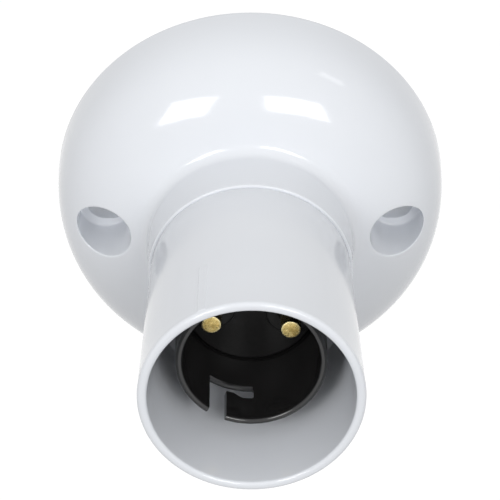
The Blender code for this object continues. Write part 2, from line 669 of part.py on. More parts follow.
def make_terminal(name, parent, brass, length, side, screw_places):
    """A square brass terminal: one wire hole through its length, a screw hole for each screw."""
    middle = side * TERMINAL_CIRCLE
    low = (-length / 2, middle - TERMINAL_DEPTH / 2, TERMINAL_FOOT)
    high = (length / 2, middle + TERMINAL_DEPTH / 2, TERMINAL_TOP)
    bar = place(name, box_mesh(name, low, high), parent, brass)
    bevel = bar.modifiers.new("edges", "BEVEL")
    bevel.width = TERMINAL_BEVEL
    bevel.segments = 1
    half = length / 2 + OVERRUN
    hole = rod_mesh(name + "_wire_hole", TERMINAL_HOLE_RADIUS, -half, half, TINY_TURN)
    hole.transform(Matrix.Translation((0, 0, TERMINAL_HOLE_HEIGHT)) @ Matrix.Rotation(pi / 2, 4, "Y"))
    cut(bar, place(name + "_wire_hole", hole, parent, location=(0, middle, 0)))
    for number, x in enumerate(screw_places):
        drilled = rod_mesh(name + "_screw_hole", SCREW_SHANK + GAP, TERMINAL_FOOT - OVERRUN,
                           TERMINAL_HOLE_HEIGHT, TINY_TURN)
        cut(bar, place(f"{name}_screw_hole_{number}", drilled, parent, location=(x, middle, 0)))
    return bar


def main():
    clear_scene()
    white = plain_material("white_urea", (0.83, 0.84, 0.85), 0.22)
    black = plain_material("black_phenolic", (0.016, 0.016, 0.018), 0.38)
    brass = plain_material("brass", (0.80, 0.60, 0.27), 0.28, 1.0)
    steel = plain_material("plated_steel", (0.62, 0.62, 0.60), 0.32, 1.0)

    outer = frame_empty("lamp_axis", rotation=(pi / 2, 0, 0))
    inner = frame_empty("inner_turn", outer, (0, 0, INNER_TURN))

    make_dome_base(outer, inner, white)
    make_skirt(outer, white)
    make_barrel(inner, black)
    make_contact_block(inner, black)

    terminal_screw_foot = POST_FOOT - SCREW_BACKED_OUT - SCREW_HEAD_HEIGHT
    terminal_screw_tip = WIRE_HOLE_HEIGHT - WIRE_HOLE_RADIUS + SCREW_BITE
    for side, word in ((-1, "left"), (1, "right")):
        where = (side * CONTACT_X, 0, 0)
        make_plunger("plunger_" + word, inner, brass, where)
        make_spring("plunger_spring_" + word, inner, steel, where)
        make_post("terminal_post_" + word, inner, brass, where)
        make_screw("terminal_screw_" + word, inner, brass, where, SCREW_SHANK, SCREW_HEAD,
                   terminal_screw_foot, terminal_screw_tip, turn=side * POST_SCREW_TURN)
    block_screw_foot = PLATE_FOOT - GAP - SCREW_HEAD_HEIGHT
    block_screw_tip = PLATE_FOOT - GAP + BLOCK_SCREW_LENGTH
    for word, (x, y) in zip(("upper", "lower"), lug_places()):
        make_screw("block_screw_" + word, inner, steel, (x, y, 0), BLOCK_SCREW_SHANK, BLOCK_SCREW_HEAD,
                   block_screw_foot, block_screw_tip, turn=BLOCK_SCREW_TURN)

    loop_x = LOOP_SCREW_SPACING / 2
    make_terminal("loop_terminal", outer, brass, LOOP_LENGTH, 1, (-loop_x, loop_x))
    make_terminal("earth_terminal", outer, brass, EARTH_LENGTH, -1, (0,))
    bar_screw_foot = TERMINAL_FOOT - SCREW_BACKED_OUT - SCREW_HEAD_HEIGHT
    bar_screw_tip = TERMINAL_HOLE_HEIGHT - TERMINAL_HOLE_RADIUS + SCREW_BITE
    bar_screws = (("loop_screw_left", (-loop_x, TERMINAL_CIRCLE, 0), LOOP_SCREW_TURN),
                  ("loop_screw_right", (loop_x, TERMINAL_CIRCLE, 0), LOOP_SCREW_TURN),
                  ("earth_screw", (0, -TERMINAL_CIRCLE, 0), EARTH_SCREW_TURN))
    for name, where, turn in bar_screws:
        make_screw(name, outer, brass, where, SCREW_SHANK, SCREW_HEAD, bar_screw_foot, bar_screw_tip,
                   turn=turn)


main()
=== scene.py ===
# %% [markdown]
# # Dressing a bayonet batten lamp holder
#
# This lesson takes the working parts of a small moulded lamp holder and gives each of them
# the shape and finish that a camera sees: a glossy white dome and skirt, a black barrel
# with two J-shaped slots, and sprung brass contacts at the bottom of it. The parts arrive
# as a fixed frame, at their real size. Nothing here moves or resizes them: each new piece
# takes its place and its main sizes from the part that it stands for.

# %% Load the frame
from math import atan2, cos, hypot, pi, radians, sin, tan

import bmesh
import bpy
from mathutils import Matrix, Quaternion, Vector


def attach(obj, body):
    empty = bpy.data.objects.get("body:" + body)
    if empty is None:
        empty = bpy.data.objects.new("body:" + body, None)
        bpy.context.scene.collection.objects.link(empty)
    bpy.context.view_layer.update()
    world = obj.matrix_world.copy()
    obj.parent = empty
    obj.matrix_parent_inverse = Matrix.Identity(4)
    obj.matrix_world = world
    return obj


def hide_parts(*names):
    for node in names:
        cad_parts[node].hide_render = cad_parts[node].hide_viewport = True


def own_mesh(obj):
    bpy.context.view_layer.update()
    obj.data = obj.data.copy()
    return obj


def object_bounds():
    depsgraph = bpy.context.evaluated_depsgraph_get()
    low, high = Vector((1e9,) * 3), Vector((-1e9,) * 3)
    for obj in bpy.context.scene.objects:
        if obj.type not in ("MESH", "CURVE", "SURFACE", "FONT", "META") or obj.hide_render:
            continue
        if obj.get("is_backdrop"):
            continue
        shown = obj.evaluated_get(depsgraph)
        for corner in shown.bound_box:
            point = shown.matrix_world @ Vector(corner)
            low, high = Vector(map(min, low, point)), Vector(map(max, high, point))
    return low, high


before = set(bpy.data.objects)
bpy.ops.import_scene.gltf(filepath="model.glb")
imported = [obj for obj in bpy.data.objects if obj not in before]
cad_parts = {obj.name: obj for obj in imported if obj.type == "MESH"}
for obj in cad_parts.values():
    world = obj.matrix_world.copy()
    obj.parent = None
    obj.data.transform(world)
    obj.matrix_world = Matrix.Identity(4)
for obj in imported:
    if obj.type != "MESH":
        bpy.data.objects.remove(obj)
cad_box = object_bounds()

print("parts:", len(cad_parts))

# %% [markdown]
# ## The lamp axis
#
# Almost every piece of a lamp holder is turned or moulded about the axis of the lamp.
# That axis lies along -Y here, from the wall towards the camera. A lathe is easier to
# think about upright, so each piece is modelled about +Z, with its height measured from
# the wall, and tipped forward once it is finished. The black inner parts of this holder
# sit a few degrees round from upright, so they get a small turn as well.

# %% Tip a finished piece forward
INNER_TURN = radians(-4.5)


def lamp_axis(turn=0.0):
    """The place of a piece drawn upright, once the lamp axis points at -Y."""
    return Matrix.Rotation(pi / 2, 4, "X") @ Matrix.Rotation(turn, 4, "Z")


def nothing_selected():
    if bpy.context.object is not None and bpy.context.object.mode != "OBJECT":
        bpy.ops.object.mode_set(mode="OBJECT")
    bpy.ops.object.select_all(action="DESELECT")


def only(piece):
    """Make one piece the selected and the active object."""
    nothing_selected()
    piece.select_set(True)
    bpy.context.view_layer.objects.active = piece
    return piece


def settle(piece, matrix=None):
    """Put a piece in its place and move that place into its mesh."""
    only(piece)
    if matrix is not None:
        piece.matrix_world = matrix @ piece.matrix_world
    bpy.ops.object.transform_apply(location=True, rotation=True, scale=True)
    return piece


# %% Measure the parts that the new pieces stand for
def upright(node):
    """The points of a part, seen with the lamp axis upright."""
    back = lamp_axis().inverted()
    return [back @ v.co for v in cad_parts[node].data.vertices]


def box_of(node):
    """The low and the high corner of a part, seen with the lamp axis upright."""
    axes = list(zip(*upright(node)))
    return [min(axis) for axis in axes], [max(axis) for axis in axes]


def foot_and_top(node):
    """The two heights that a part lies between."""
    low, high = box_of(node)
    return low[2], high[2]


def largest_radius(node, test=lambda point: True):
    """How far a part reaches from the lamp axis, among the points that pass a test."""
    return max(hypot(p.x, p.y) for p in upright(node) if test(p))


BASE_RADIUS, COLLAR_TOP = largest_radius("dome_base"), foot_and_top("dome_base")[1]
FLANGE_RADIUS = largest_radius("bayonet_barrel")
FLANGE_FOOT, LIP_TOP = foot_and_top("bayonet_barrel")
SKIRT_FOOT, MOUTH_TOP = foot_and_top("skirt")
# The thin rib of the skirt stands on its other side, where y is positive.
MOUTH_RADIUS = largest_radius("skirt", lambda point: point.y < 0)
print(f"base radius {BASE_RADIUS * 1000:.2f} mm, mouth radius {MOUTH_RADIUS * 1000:.2f} mm, "
      f"wall to mouth {MOUTH_TOP * 1000:.2f} mm")

# %% [markdown]
# ## Working by hand, in code
#
# Every shape starts from one of Blender's primitives and is shaped in edit mode. Three
# small helpers keep that readable. One picks faces or edges by where they are, as a
# person would with a click. One draws half a section and spins it, which is what a lathe
# or a round mould does. The last one adds, cuts or intersects two solids. A few more, of
# a line or two each, build on them.

# %% Pick faces, edges or points by their place
def pick(piece, kind, test):
    """In edit mode, select the faces, edges or points that pass a test."""
    only(piece)
    bpy.ops.object.mode_set(mode="EDIT")
    bpy.ops.mesh.select_mode(type=kind)
    bpy.ops.mesh.select_all(action="DESELECT")
    bm = bmesh.from_edit_mesh(piece.data)
    bm.normal_update()
    chosen = [e for e in {"FACE": bm.faces, "EDGE": bm.edges, "VERT": bm.verts}[kind] if test(e)]
    for element in chosen:
        element.select = True
    bm.select_flush_mode()
    bmesh.update_edit_mesh(piece.data)
    return len(chosen)


def middle_of(element):
    """The middle of a face or an edge."""
    return sum((v.co for v in element.verts), Vector()) / len(element.verts)


def is_sharp(edge, least=radians(40)):
    """True where two faces meet at more than an angle."""
    return len(edge.link_faces) == 2 and edge.calc_face_angle(0.0) > least


def sharp_above(height):
    """A test for the sharp edges above a height."""
    return lambda e: is_sharp(e) and middle_of(e).z > height


def sharp_below(height):
    """A test for the sharp edges below a height."""
    return lambda e: is_sharp(e) and middle_of(e).z < height


def pick_open_edges(wire=False):
    """In edit mode, select the edges round a hole, and loose edges too if asked."""
    bpy.ops.mesh.select_mode(type="EDGE")
    bpy.ops.mesh.select_non_manifold(extend=False, use_wire=wire, use_boundary=True, use_verts=False,
                                     use_multi_face=False, use_non_contiguous=False)


def done_editing():
    bpy.ops.object.mode_set(mode="OBJECT")


# %% Draw half a section and spin it
WELD = 2e-7
NEAR = 50 * WELD
CLEAR = 0.0003
PAST = 0.001


def near(first, second):
    """True for two lengths that differ only by rounding."""
    return abs(first - second) < NEAR


def section_line(name, section, closed):
    """An object that holds one line of points, drawn by extruding a single point."""
    nothing_selected()
    bpy.ops.mesh.primitive_plane_add(size=PAST, location=(0, 0, 0))
    piece = bpy.context.object
    piece.name = piece.data.name = name
    bpy.ops.object.mode_set(mode="EDIT")
    bpy.ops.mesh.select_mode(type="VERT")
    bpy.ops.mesh.merge(type="CENTER")
    bpy.ops.transform.translate(value=(section[0][0], 0, section[0][1]))
    for (r0, z0), (r1, z1) in zip(section, section[1:]):
        bpy.ops.mesh.extrude_vertices_move(TRANSFORM_OT_translate={"value": (r1 - r0, 0, z1 - z0)})
    done_editing()
    if closed:
        ends = [Vector((r, 0, z)) for r, z in (section[0], section[-1])]
        pick(piece, "VERT", lambda v: min((v.co - end).length for end in ends) < WELD)
        bpy.ops.mesh.edge_face_add()
        done_editing()
    return piece


def spun(name, section, sides, start=0.0):
    """Turn a section of (radius, height) points about the lamp axis.

    A section that starts and ends on the axis closes itself; any other one is
    closed into a loop first, and gives a ring.
    """
    on_axis = section[0][0] == 0 and section[-1][0] == 0
    piece = section_line(name, section, closed=not on_axis)
    pick(piece, "VERT", lambda v: True)
    bpy.ops.mesh.spin(steps=sides, angle=2 * pi, center=(0, 0, 0), axis=(0, 0, 1),
                      use_auto_merge=True)
    bpy.ops.mesh.select_all(action="SELECT")
    bpy.ops.mesh.remove_doubles(threshold=WELD)
    bpy.ops.mesh.normals_make_consistent(inside=False)
    done_editing()
    return settle(piece, Matrix.Rotation(start, 4, "Z"))


def arc(centre, radius, start, end, steps):
    """Points of a round in a section, as (radius, height)."""
    return [(centre[0] + radius * cos(start + (end - start) * i / steps),
             centre[1] + radius * sin(start + (end - start) * i / steps)) for i in range(steps + 1)]


# %% Add, cut and intersect
def combine(piece, tool, operation):
    """Join a tool to a piece, or cut it away, and remove the tool."""
    only(piece)
    bpy.ops.object.modifier_add(type="BOOLEAN")
    change = piece.modifiers[-1]
    change.operation = operation
    change.solver = "EXACT"
    change.object = tool
    bpy.ops.object.modifier_apply(modifier=change.name)
    bpy.data.objects.remove(tool, do_unlink=True)
    return piece


def joined(pieces):
    """Several objects as one, with their solids still apart."""
    only(pieces[0])
    for piece in pieces[1:]:
        piece.select_set(True)
    if len(pieces) > 1:
        bpy.ops.object.join()
    return pieces[0]


def rod(name, radius, low, high, sides, place=(0, 0)):
    """A round rod along the height, as a start for a boss or a hole."""
    nothing_selected()
    bpy.ops.mesh.primitive_cylinder_add(vertices=sides, radius=radius, depth=high - low,
                                        location=(*place, (low + high) / 2))
    bpy.context.object.name = name
    return settle(bpy.context.object)


def block(name, low, high, matrix=None):
    """A square block between two corners."""
    nothing_selected()
    bpy.ops.mesh.primitive_cube_add(size=1, location=[(a + b) / 2 for a, b in zip(low, high)],
                                    scale=[b - a for a, b in zip(low, high)])
    bpy.context.object.name = name
    return settle(settle(bpy.context.object), matrix)


def soften(piece, width, segments, test=is_sharp):
    """Round the edges that pass a test, as a mould or a deburring tool leaves them."""
    if pick(piece, "EDGE", test):
        bpy.ops.mesh.bevel(offset=width, segments=segments, affect="EDGES", clamp_overlap=True)
    done_editing()
    return piece


# Two faces shade as one where they meet at less than this, in degrees.
SMOOTH_WHITE = 35
SMOOTH_BLACK = 38
SMOOTH_METAL = 30
SMOOTH_WIRE = 40


def finished(piece, finish, body, node, matrix, smooth):
    """Place a piece, shade it, dress it, and let it stand for its part of the frame."""
    settle(piece, matrix)
    bpy.ops.object.shade_smooth_by_angle(angle=radians(smooth))
    piece.data.materials.clear()
    piece.data.materials.append(finish)
    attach(piece, body)
    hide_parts(node)
    size = [round(d * 1000, 1) for d in piece.dimensions]
    print(f"{piece.name}: {len(piece.data.polygons)} faces, {size} mm")


# %% [markdown]
# ## Finishes
#
# A finish is one Principled shader with a little detail wired into its colour, its
# roughness and its bump. Moulded urea is not one flat white: the melt leaves soft clouds in
# it, and the polished mould leaves a faint orange peel that only shows in reflections.
# Writing node trees by hand is slow to read, so a small class lets sockets be added and
# multiplied like numbers. Colours go through Mix nodes, since a Math node turns them grey.

# %% Sockets that behave like numbers
class Wire:
    """The output of a node, with sums and products that add Math nodes."""

    def __init__(self, nodes, socket):
        self.nodes = nodes
        self.socket = socket

    def maths(self, operation, first, second=0.0):
        return self.nodes.node("Math", {"operation": operation}, {0: first, 1: second})

    def __add__(self, other):
        return self.maths("ADD", self, other)

    def __sub__(self, other):
        return self.maths("SUBTRACT", self, other)

    def __rsub__(self, other):
        return self.maths("SUBTRACT", other, self)

    def __mul__(self, other):
        return self.maths("MULTIPLY", self, other)

    def __truediv__(self, other):
        return self.maths("DIVIDE", self, other)

    def __pow__(self, other):
        return self.maths("POWER", self, other)

    def __abs__(self):
        return self.maths("ABSOLUTE", self)

    __radd__ = __add__
    __rmul__ = __mul__


class Nodes:
    """The node tree of a material or a world, with one way to add to it."""

    def __init__(self, owner):
        owner.use_nodes = True
        self.tree = owner.node_tree

    def node(self, kind, settings, sockets, output=0):
        """Add a node: its settings first, then the values or wires of its sockets."""
        made = self.tree.nodes.new("ShaderNode" + kind)
        for setting, value in settings.items():
            setattr(made, setting, value)
        for socket, value in sockets.items():
            if isinstance(value, Wire):
                self.tree.links.new(value.socket, made.inputs[socket])
            else:
                made.inputs[socket].default_value = value
        return Wire(self, made.outputs[output])


class Finish(Nodes):
    """A Principled material, with constant sockets set by name."""

    def __init__(self, name, constants):
        self.material = bpy.data.materials.new(name)
        super().__init__(self.material)
        self.shader = self.tree.nodes["Principled BSDF"]
        for socket, value in constants.items():
            self.shader.inputs[socket].default_value = value

    def place(self, turn=(0, 0, 0), scale=(1, 1, 1)):
        """Object coordinates, turned and stretched by a Mapping node."""
        here = self.node("TexCoord", {}, {}, "Object")
        return self.node("Mapping", {}, {"Vector": here, "Rotation": turn, "Scale": scale})

    def noise(self, where, scale, detail, roughness=0.5):
        return self.node("TexNoise", {}, {"Vector": where, "Scale": scale, "Detail": detail,
                                          "Roughness": roughness})

    def between(self, share, first, second):
        """A colour between two others, each of them three numbers or a wire."""
        ends = [end if isinstance(end, Wire) else (*end, 1) for end in (first, second)]
        return self.node("Mix", {"data_type": "RGBA"}, {0: share, 6: ends[0], 7: ends[1]}, 2)

    def contrast(self, level, gain):
        """A level stretched about its middle, and held between 0 and 1."""
        return self.node("Math", {"operation": "MULTIPLY_ADD", "use_clamp": True},
                         {0: level, 1: gain, 2: (1 - gain) / 2})

    def split(self, vector):
        """The three parts of a vector."""
        parts = self.node("SeparateXYZ", {}, {"Vector": vector})
        return [Wire(self, parts.socket.node.outputs[axis]) for axis in "XYZ"]

    def bump(self, height, strength, distance):
        return self.node("Bump", {}, {"Height": height, "Strength": strength, "Distance": distance})

    def wear(self, **sockets):
        """Wire what changes over the surface into the shader."""
        for socket, value in sockets.items():
            self.tree.links.new(value.socket, self.shader.inputs[socket.replace("_", " ")])
        return self.material


# %% White urea moulding
def white_urea():
    finish = Finish("white_urea", {"IOR": 1.56})
    here = finish.place()
    cloud = finish.noise(here, 55, 2)
    peel = finish.noise(here, 420, 2)
    colour = finish.between(cloud, (0.738, 0.760, 0.800), (0.776, 0.798, 0.835))
    return finish.wear(Base_Color=colour, Roughness=0.085 + 0.05 * finish.noise(here, 160, 3),
                       Normal=finish.bump(peel, 0.06, 0.0002))


# %% [markdown]
# Black phenolic is filled with wood flour. Its polish is softer than that of the urea, and
# up close it is speckled dark brown and black. The barrel comes from a polished mould; the
# contact block is never seen close to, and its mould is left duller.

# %% Black phenolic mouldings
def black_phenolic(name, gloss, smoothest):
    finish = Finish(name, {"IOR": 1.5, "Specular IOR Level": gloss})
    here = finish.place()
    flour = finish.noise(here, 1800, 3, 0.6)
    cloud = finish.noise(here, 240, 3)
    colour = finish.between(flour, (0.0100, 0.0100, 0.0105), (0.0180, 0.0172, 0.0170))
    return finish.wear(Base_Color=colour, Roughness=smoothest + 0.12 * cloud,
                       Normal=finish.bump(flour, 0.05, 0.0002))


# %% [markdown]
# The contacts are turned on a lathe, which leaves fine rings on their faces. Both contacts
# share one finish: they stand half a turn apart, so the distance to the nearer one's axis
# is found by folding the pattern over at the middle.

# %% Brass
CONTACT_SPACING = 0.01325
LATHE_FEED = 0.00022
RIM_START = 0.0014
RIM_WIDTH = 0.0003


def turned_brass():
    finish = Finish("turned_brass", {"Metallic": 1.0})
    here = finish.place()
    upright_here = finish.place(turn=(0, INNER_TURN, 0))
    across, _, up = finish.split(upright_here)
    ring = ((abs(across) - CONTACT_SPACING / 2) ** 2 + up ** 2) ** 0.5
    groove = finish.node("Math", {"operation": "SINE"}, {0: ring * (2 * pi / LATHE_FEED)})
    tarnish = finish.contrast(finish.noise(here, 900, 4, 0.7), 3)
    bruise = finish.contrast(finish.noise(here, 2100, 2, 0.5), 5)
    rim = finish.contrast((ring - RIM_START) / RIM_WIDTH + 0.5, 1)
    plain = finish.between(tarnish, (0.78, 0.62, 0.27), (0.50, 0.34, 0.10))
    marked = finish.between(0.35 * bruise, plain, (0.36, 0.30, 0.10))
    colour = finish.between(0.6 * rim, marked, (0.86, 0.78, 0.46))
    return finish.wear(Base_Color=colour, Roughness=0.18 + 0.16 * tarnish,
                       Normal=finish.bump(groove + 2.0 * tarnish + bruise, 0.25, 0.00004))


def drawn_brass(name, stretch):
    """Brass bar, with the lines of the die along it."""
    finish = Finish(name, {"Metallic": 1.0})
    lines = finish.noise(finish.place(scale=stretch), 1500, 3, 0.6)
    tarnish = finish.noise(finish.place(), 260, 4, 0.6)
    colour = finish.between(tarnish, (0.84, 0.63, 0.31), (0.62, 0.44, 0.19))
    return finish.wear(Base_Color=colour, Roughness=0.22 + 0.20 * tarnish,
                       Normal=finish.bump(lines, 0.25, 0.00004))


# %% Zinc-plated steel and spring wire
def grey_metal(name, grain, pale, dark, smoothest, spread, depth):
    """Bare metal whose colour, polish and bump all follow one noise."""
    finish = Finish(name, {"Metallic": 1.0})
    spangle = finish.noise(finish.place(), *grain)
    return finish.wear(Base_Color=finish.between(spangle, pale, dark),
                       Roughness=smoothest + spread * spangle,
                       Normal=finish.bump(spangle, 0.10, depth))


WHITE = white_urea()
BLACK = black_phenolic("black_phenolic", 0.6, 0.06)
DULL_BLACK = black_phenolic("dull_black_phenolic", 0.2, 0.30)
CONTACT_BRASS = turned_brass()
POST_BRASS = drawn_brass("post_brass", (1, 0.03, 1))
BAR_BRASS = drawn_brass("bar_brass", (0.03, 1, 1))
STEEL = grey_metal("plated_steel", (900, 3, 0.6), (0.66, 0.67, 0.69), (0.53, 0.54, 0.55),
                   0.24, 0.16, 0.00005)
WIRE = grey_metal("spring_wire", (2600, 2), (0.52, 0.53, 0.55), (0.40, 0.41, 0.43),
                  0.28, 0.14, 0.00003)
print("finishes:", [m.name for m in (WHITE, BLACK, DULL_BLACK, CONTACT_BRASS, POST_BRASS,
                                     BAR_BRASS, STEEL, WIRE)])

# %% [markdown]
# ## The camera and the studio
#
# The camera comes early, because every later choice is judged through it. It looks at the
# holder from in front and about a third of a right angle above, through a long lens, and a
# hair from the left. Two soft boxes stand behind it, one to each side and a little lower,
# and leave the pair of window-shaped highlights on the dome. A small third one lights the
# right flank. The rest of the light is an even white room.

# %% Camera
CAMERA_PLACE = (-0.00192, -0.5185, 0.3242)
CAMERA_TILT = radians(56.81)
CAMERA_TURN = radians(-0.21)
LENS = 248.2
SENSOR = 36

nothing_selected()
bpy.ops.object.camera_add(location=CAMERA_PLACE, rotation=(CAMERA_TILT, 0, CAMERA_TURN))
camera = bpy.context.object
camera.data.lens = LENS
camera.data.sensor_width = SENSOR
camera.data.clip_start = 0.01
bpy.context.scene.camera = camera
print("camera", [round(c, 3) for c in camera.location], "lens", camera.data.lens)

# %% Soft boxes
LIGHT_DISTANCE = 1.5
# The azimuth, elevation, width, height and roll in degrees, and the power in watts
SOFT_BOXES = {"soft_box_left": (-28.7, 26, 21, 18, 6.7, 6.0),
              "soft_box_right": (20.5, 26, 24, 15.5, -10, 6.5),
              "side_light": (82, 49.5, 7, 12, 0, 0.34)}


def soft_box(name, *angles, power):
    """An area light that faces the holder; the angles are those it is seen at from there."""
    azimuth, elevation, wide, high, roll = [radians(angle) for angle in angles]
    away = Vector((sin(azimuth) * cos(elevation), -cos(azimuth) * cos(elevation), sin(elevation)))
    facing = away.to_track_quat("Z", "Y") @ Quaternion((0, 0, 1), roll)
    nothing_selected()
    bpy.ops.object.light_add(type="AREA", location=away * LIGHT_DISTANCE,
                             rotation=facing.to_euler())
    lamp = bpy.context.object
    lamp.name = name
    lamp.data.shape = "RECTANGLE"
    lamp.data.size = 2 * LIGHT_DISTANCE * tan(wide / 2)
    lamp.data.size_y = 2 * LIGHT_DISTANCE * tan(high / 2)
    lamp.data.energy = power


for name, (*angles, power) in SOFT_BOXES.items():
    soft_box(name, *angles, power=power)

# %% White room and floor
ROOM_LIGHT = 0.66
FLOOR_DROP = 0.10
FLOOR_SIZE = 6.0
FLOOR_GREY = 0.25
FLOOR_GLOW = 0.80


def seen_directly(nodes):
    """1 for a camera, glossy or transmission ray, and 0 for the rays that carry light."""
    camera_ray, glossy, through = [nodes.node("LightPath", {}, {}, f"Is {kind} Ray")
                                   for kind in ("Camera", "Glossy", "Transmission")]
    return camera_ray.maths("MAXIMUM", camera_ray.maths("MAXIMUM", camera_ray, glossy), through)


def white_room():
    """White wherever it is seen, and a softer light wherever it isn't."""
    world = bpy.data.worlds.new("white_room")
    bpy.context.scene.world = world
    nodes = Nodes(world)
    level = nodes.node("MapRange", {}, {"Value": seen_directly(nodes), "To Min": ROOM_LIGHT,
                                        "To Max": 1.0})
    background = nodes.tree.nodes["Background"]
    background.inputs["Color"].default_value = (1, 1, 1, 1)
    nodes.tree.links.new(level.socket, background.inputs["Strength"])


def pale_floor():
    """A floor that glows where it is seen, so that it fades into the room."""
    nothing_selected()
    bpy.ops.mesh.primitive_plane_add(size=FLOOR_SIZE, location=(0, 0, -BASE_RADIUS - FLOOR_DROP))
    floor = settle(bpy.context.object)
    floor.name = "pale_floor"
    finish = Finish("pale_floor", {"Base Color": (FLOOR_GREY, FLOOR_GREY, FLOOR_GREY, 1),
                                   "Roughness": 0.9, "Emission Color": (1, 1, 1, 1)})
    glow = FLOOR_GLOW * seen_directly(finish)
    floor.data.materials.append(finish.wear(Emission_Strength=glow))
    floor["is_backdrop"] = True


white_room()
pale_floor()
bpy.context.scene.view_settings.view_transform = "Standard"

# %% [markdown]
# ## The dome base
#
# The base is one white moulding: a domed shell with a collar in front, and behind it the
# walls and pillars that hold the inside. The curve of the dome is a superellipse, flatter
# on top than a circle, and a small round leads from it into the collar. Spinning that
# section gives a clean skin. Its rows are spaced evenly, so that a later patch of faces
# is neither crowded nor stretched.

# %% The curve of the dome
DOME_HEIGHT = 0.02066
DOME_RISE = 2.776
DOME_ROUND = 3.33
BASE_WALL = 0.0023
RIM_ROUND = 0.00015
COLLAR_FILLET = 0.0024
COLLAR_TAPER = 0.0002
COLLAR_ROUND = 0.00025
EDGE_ROUND = 0.00015
HOLDING_ROW = 0.0003
LEDGE_THICKNESS = 0.0024
DOME_ROWS = 30
INNER_ROWS = 14
SIDES = 144


def radii_near(node, height, reach=0.0002):
    """The smallest and largest radius of a turned part, close to a height."""
    found = [hypot(p.x, p.y) for p in upright(node) if abs(p.z - height) < reach]
    return min(found), max(found)


LEDGE_HOLE, COLLAR_RADIUS = radii_near("dome_base", COLLAR_TOP, reach=3 * COLLAR_ROUND)
NECK_RADIUS = LEDGE_HOLE - CLEAR
COLLAR_BORE = FLANGE_RADIUS + CLEAR
LEDGE_FOOT = COLLAR_TOP - LEDGE_THICKNESS


def dome_point(angle, radius=BASE_RADIUS, height=DOME_HEIGHT):
    """A point of the dome, from its rim at 0 to its top at a right angle."""
    return radius * cos(angle) ** (2 / DOME_ROUND), height * sin(angle) ** (2 / DOME_RISE)


def first_angle(test, halvings=50):
    """The first angle along the dome, from its rim, at which a test holds."""
    low, high = 0.0, pi / 2
    for _ in range(halvings):
        middle = (low + high) / 2
        low, high = (low, middle) if test(middle) else (middle, high)
    return high


def fillet_centre(angle, step=1e-5):
    """The centre of the collar's round, if it touches the dome at an angle."""
    r0, z0 = dome_point(angle - step)
    r1, z1 = dome_point(angle + step)
    length = hypot(r1 - r0, z1 - z0)
    r, z = dome_point(angle)
    return r + COLLAR_FILLET * (z1 - z0) / length, z + COLLAR_FILLET * (r0 - r1) / length


def evenly(curve, start, end, count, fine=400):
    """Points of a curve from one angle to another, the same length apart."""
    points = [curve(start + (end - start) * i / fine) for i in range(fine + 1)]
    run = [0.0]
    for (r0, z0), (r1, z1) in zip(points, points[1:]):
        run.append(run[-1] + hypot(r1 - r0, z1 - z0))
    chosen = []
    for i in range(count + 1):
        wanted = run[-1] * i / count
        chosen.append(points[min(range(fine + 1), key=lambda j: abs(run[j] - wanted))])
    return chosen


COLLAR_FOOT = COLLAR_RADIUS + COLLAR_TAPER
LEAVE = first_angle(lambda a: fillet_centre(a)[0] < COLLAR_FOOT + COLLAR_FILLET)
print(f"the dome meets the round of its collar {dome_point(LEAVE)[0] * 1000:.2f} mm from the axis")


# %% The section of the base
def outer_curve():
    """The dome from its rim to the round, and the round up to the collar."""
    centre = fillet_centre(LEAVE)
    touch = dome_point(LEAVE)
    start = atan2(touch[1] - centre[1], touch[0] - centre[0])
    rim = arc((BASE_RADIUS - RIM_ROUND, RIM_ROUND), RIM_ROUND, -pi / 2, 0, 3)
    rows = [p for p in evenly(dome_point, 0, LEAVE, DOME_ROWS) if p[1] > 2 * RIM_ROUND]
    return rim + rows + arc(centre, COLLAR_FILLET, start, -pi, 10)[1:]


def base_section():
    """The outer curve, the top of the collar, its bore, and the inner side of the dome."""
    inner = BASE_RADIUS - BASE_WALL, DOME_HEIGHT - BASE_WALL
    last = first_angle(lambda a: dome_point(a, *inner)[0] < COLLAR_BORE)
    top_round = (COLLAR_RADIUS - COLLAR_ROUND, COLLAR_TOP - COLLAR_ROUND)
    hole_round = (LEDGE_HOLE + EDGE_ROUND, COLLAR_TOP - EDGE_ROUND)
    inside = evenly(lambda a: dome_point(a, *inner), last, 0, INNER_ROWS)
    wall = [(COLLAR_FOOT, fillet_centre(LEAVE)[1] + HOLDING_ROW),
            (COLLAR_RADIUS, top_round[1] - HOLDING_ROW)]
    return (outer_curve() + wall + arc(top_round, COLLAR_ROUND, 0, pi / 2, 6)
            + arc(hole_round, EDGE_ROUND, pi / 2, pi, 2)
            + [(LEDGE_HOLE, LEDGE_FOOT), (COLLAR_BORE, LEDGE_FOOT)]
            + inside[:-1] + [(inner[0], RIM_ROUND), (inner[0] - RIM_ROUND, 0)])


base = spun("dome_base_moulding", base_section(), SIDES)
print("base skin:", len(base.data.polygons), "faces")

# %% [markdown]
# ### What stands inside the base
#
# Seen from the wall, the base holds a boss behind each fixing well, two pillars for the
# screws of the contact block, and a walled pocket for each loose terminal. Each of them
# is a plain solid at first. It is trimmed by a dome that ends halfway through the wall,
# so that joining it to the shell leaves the polished skin untouched.

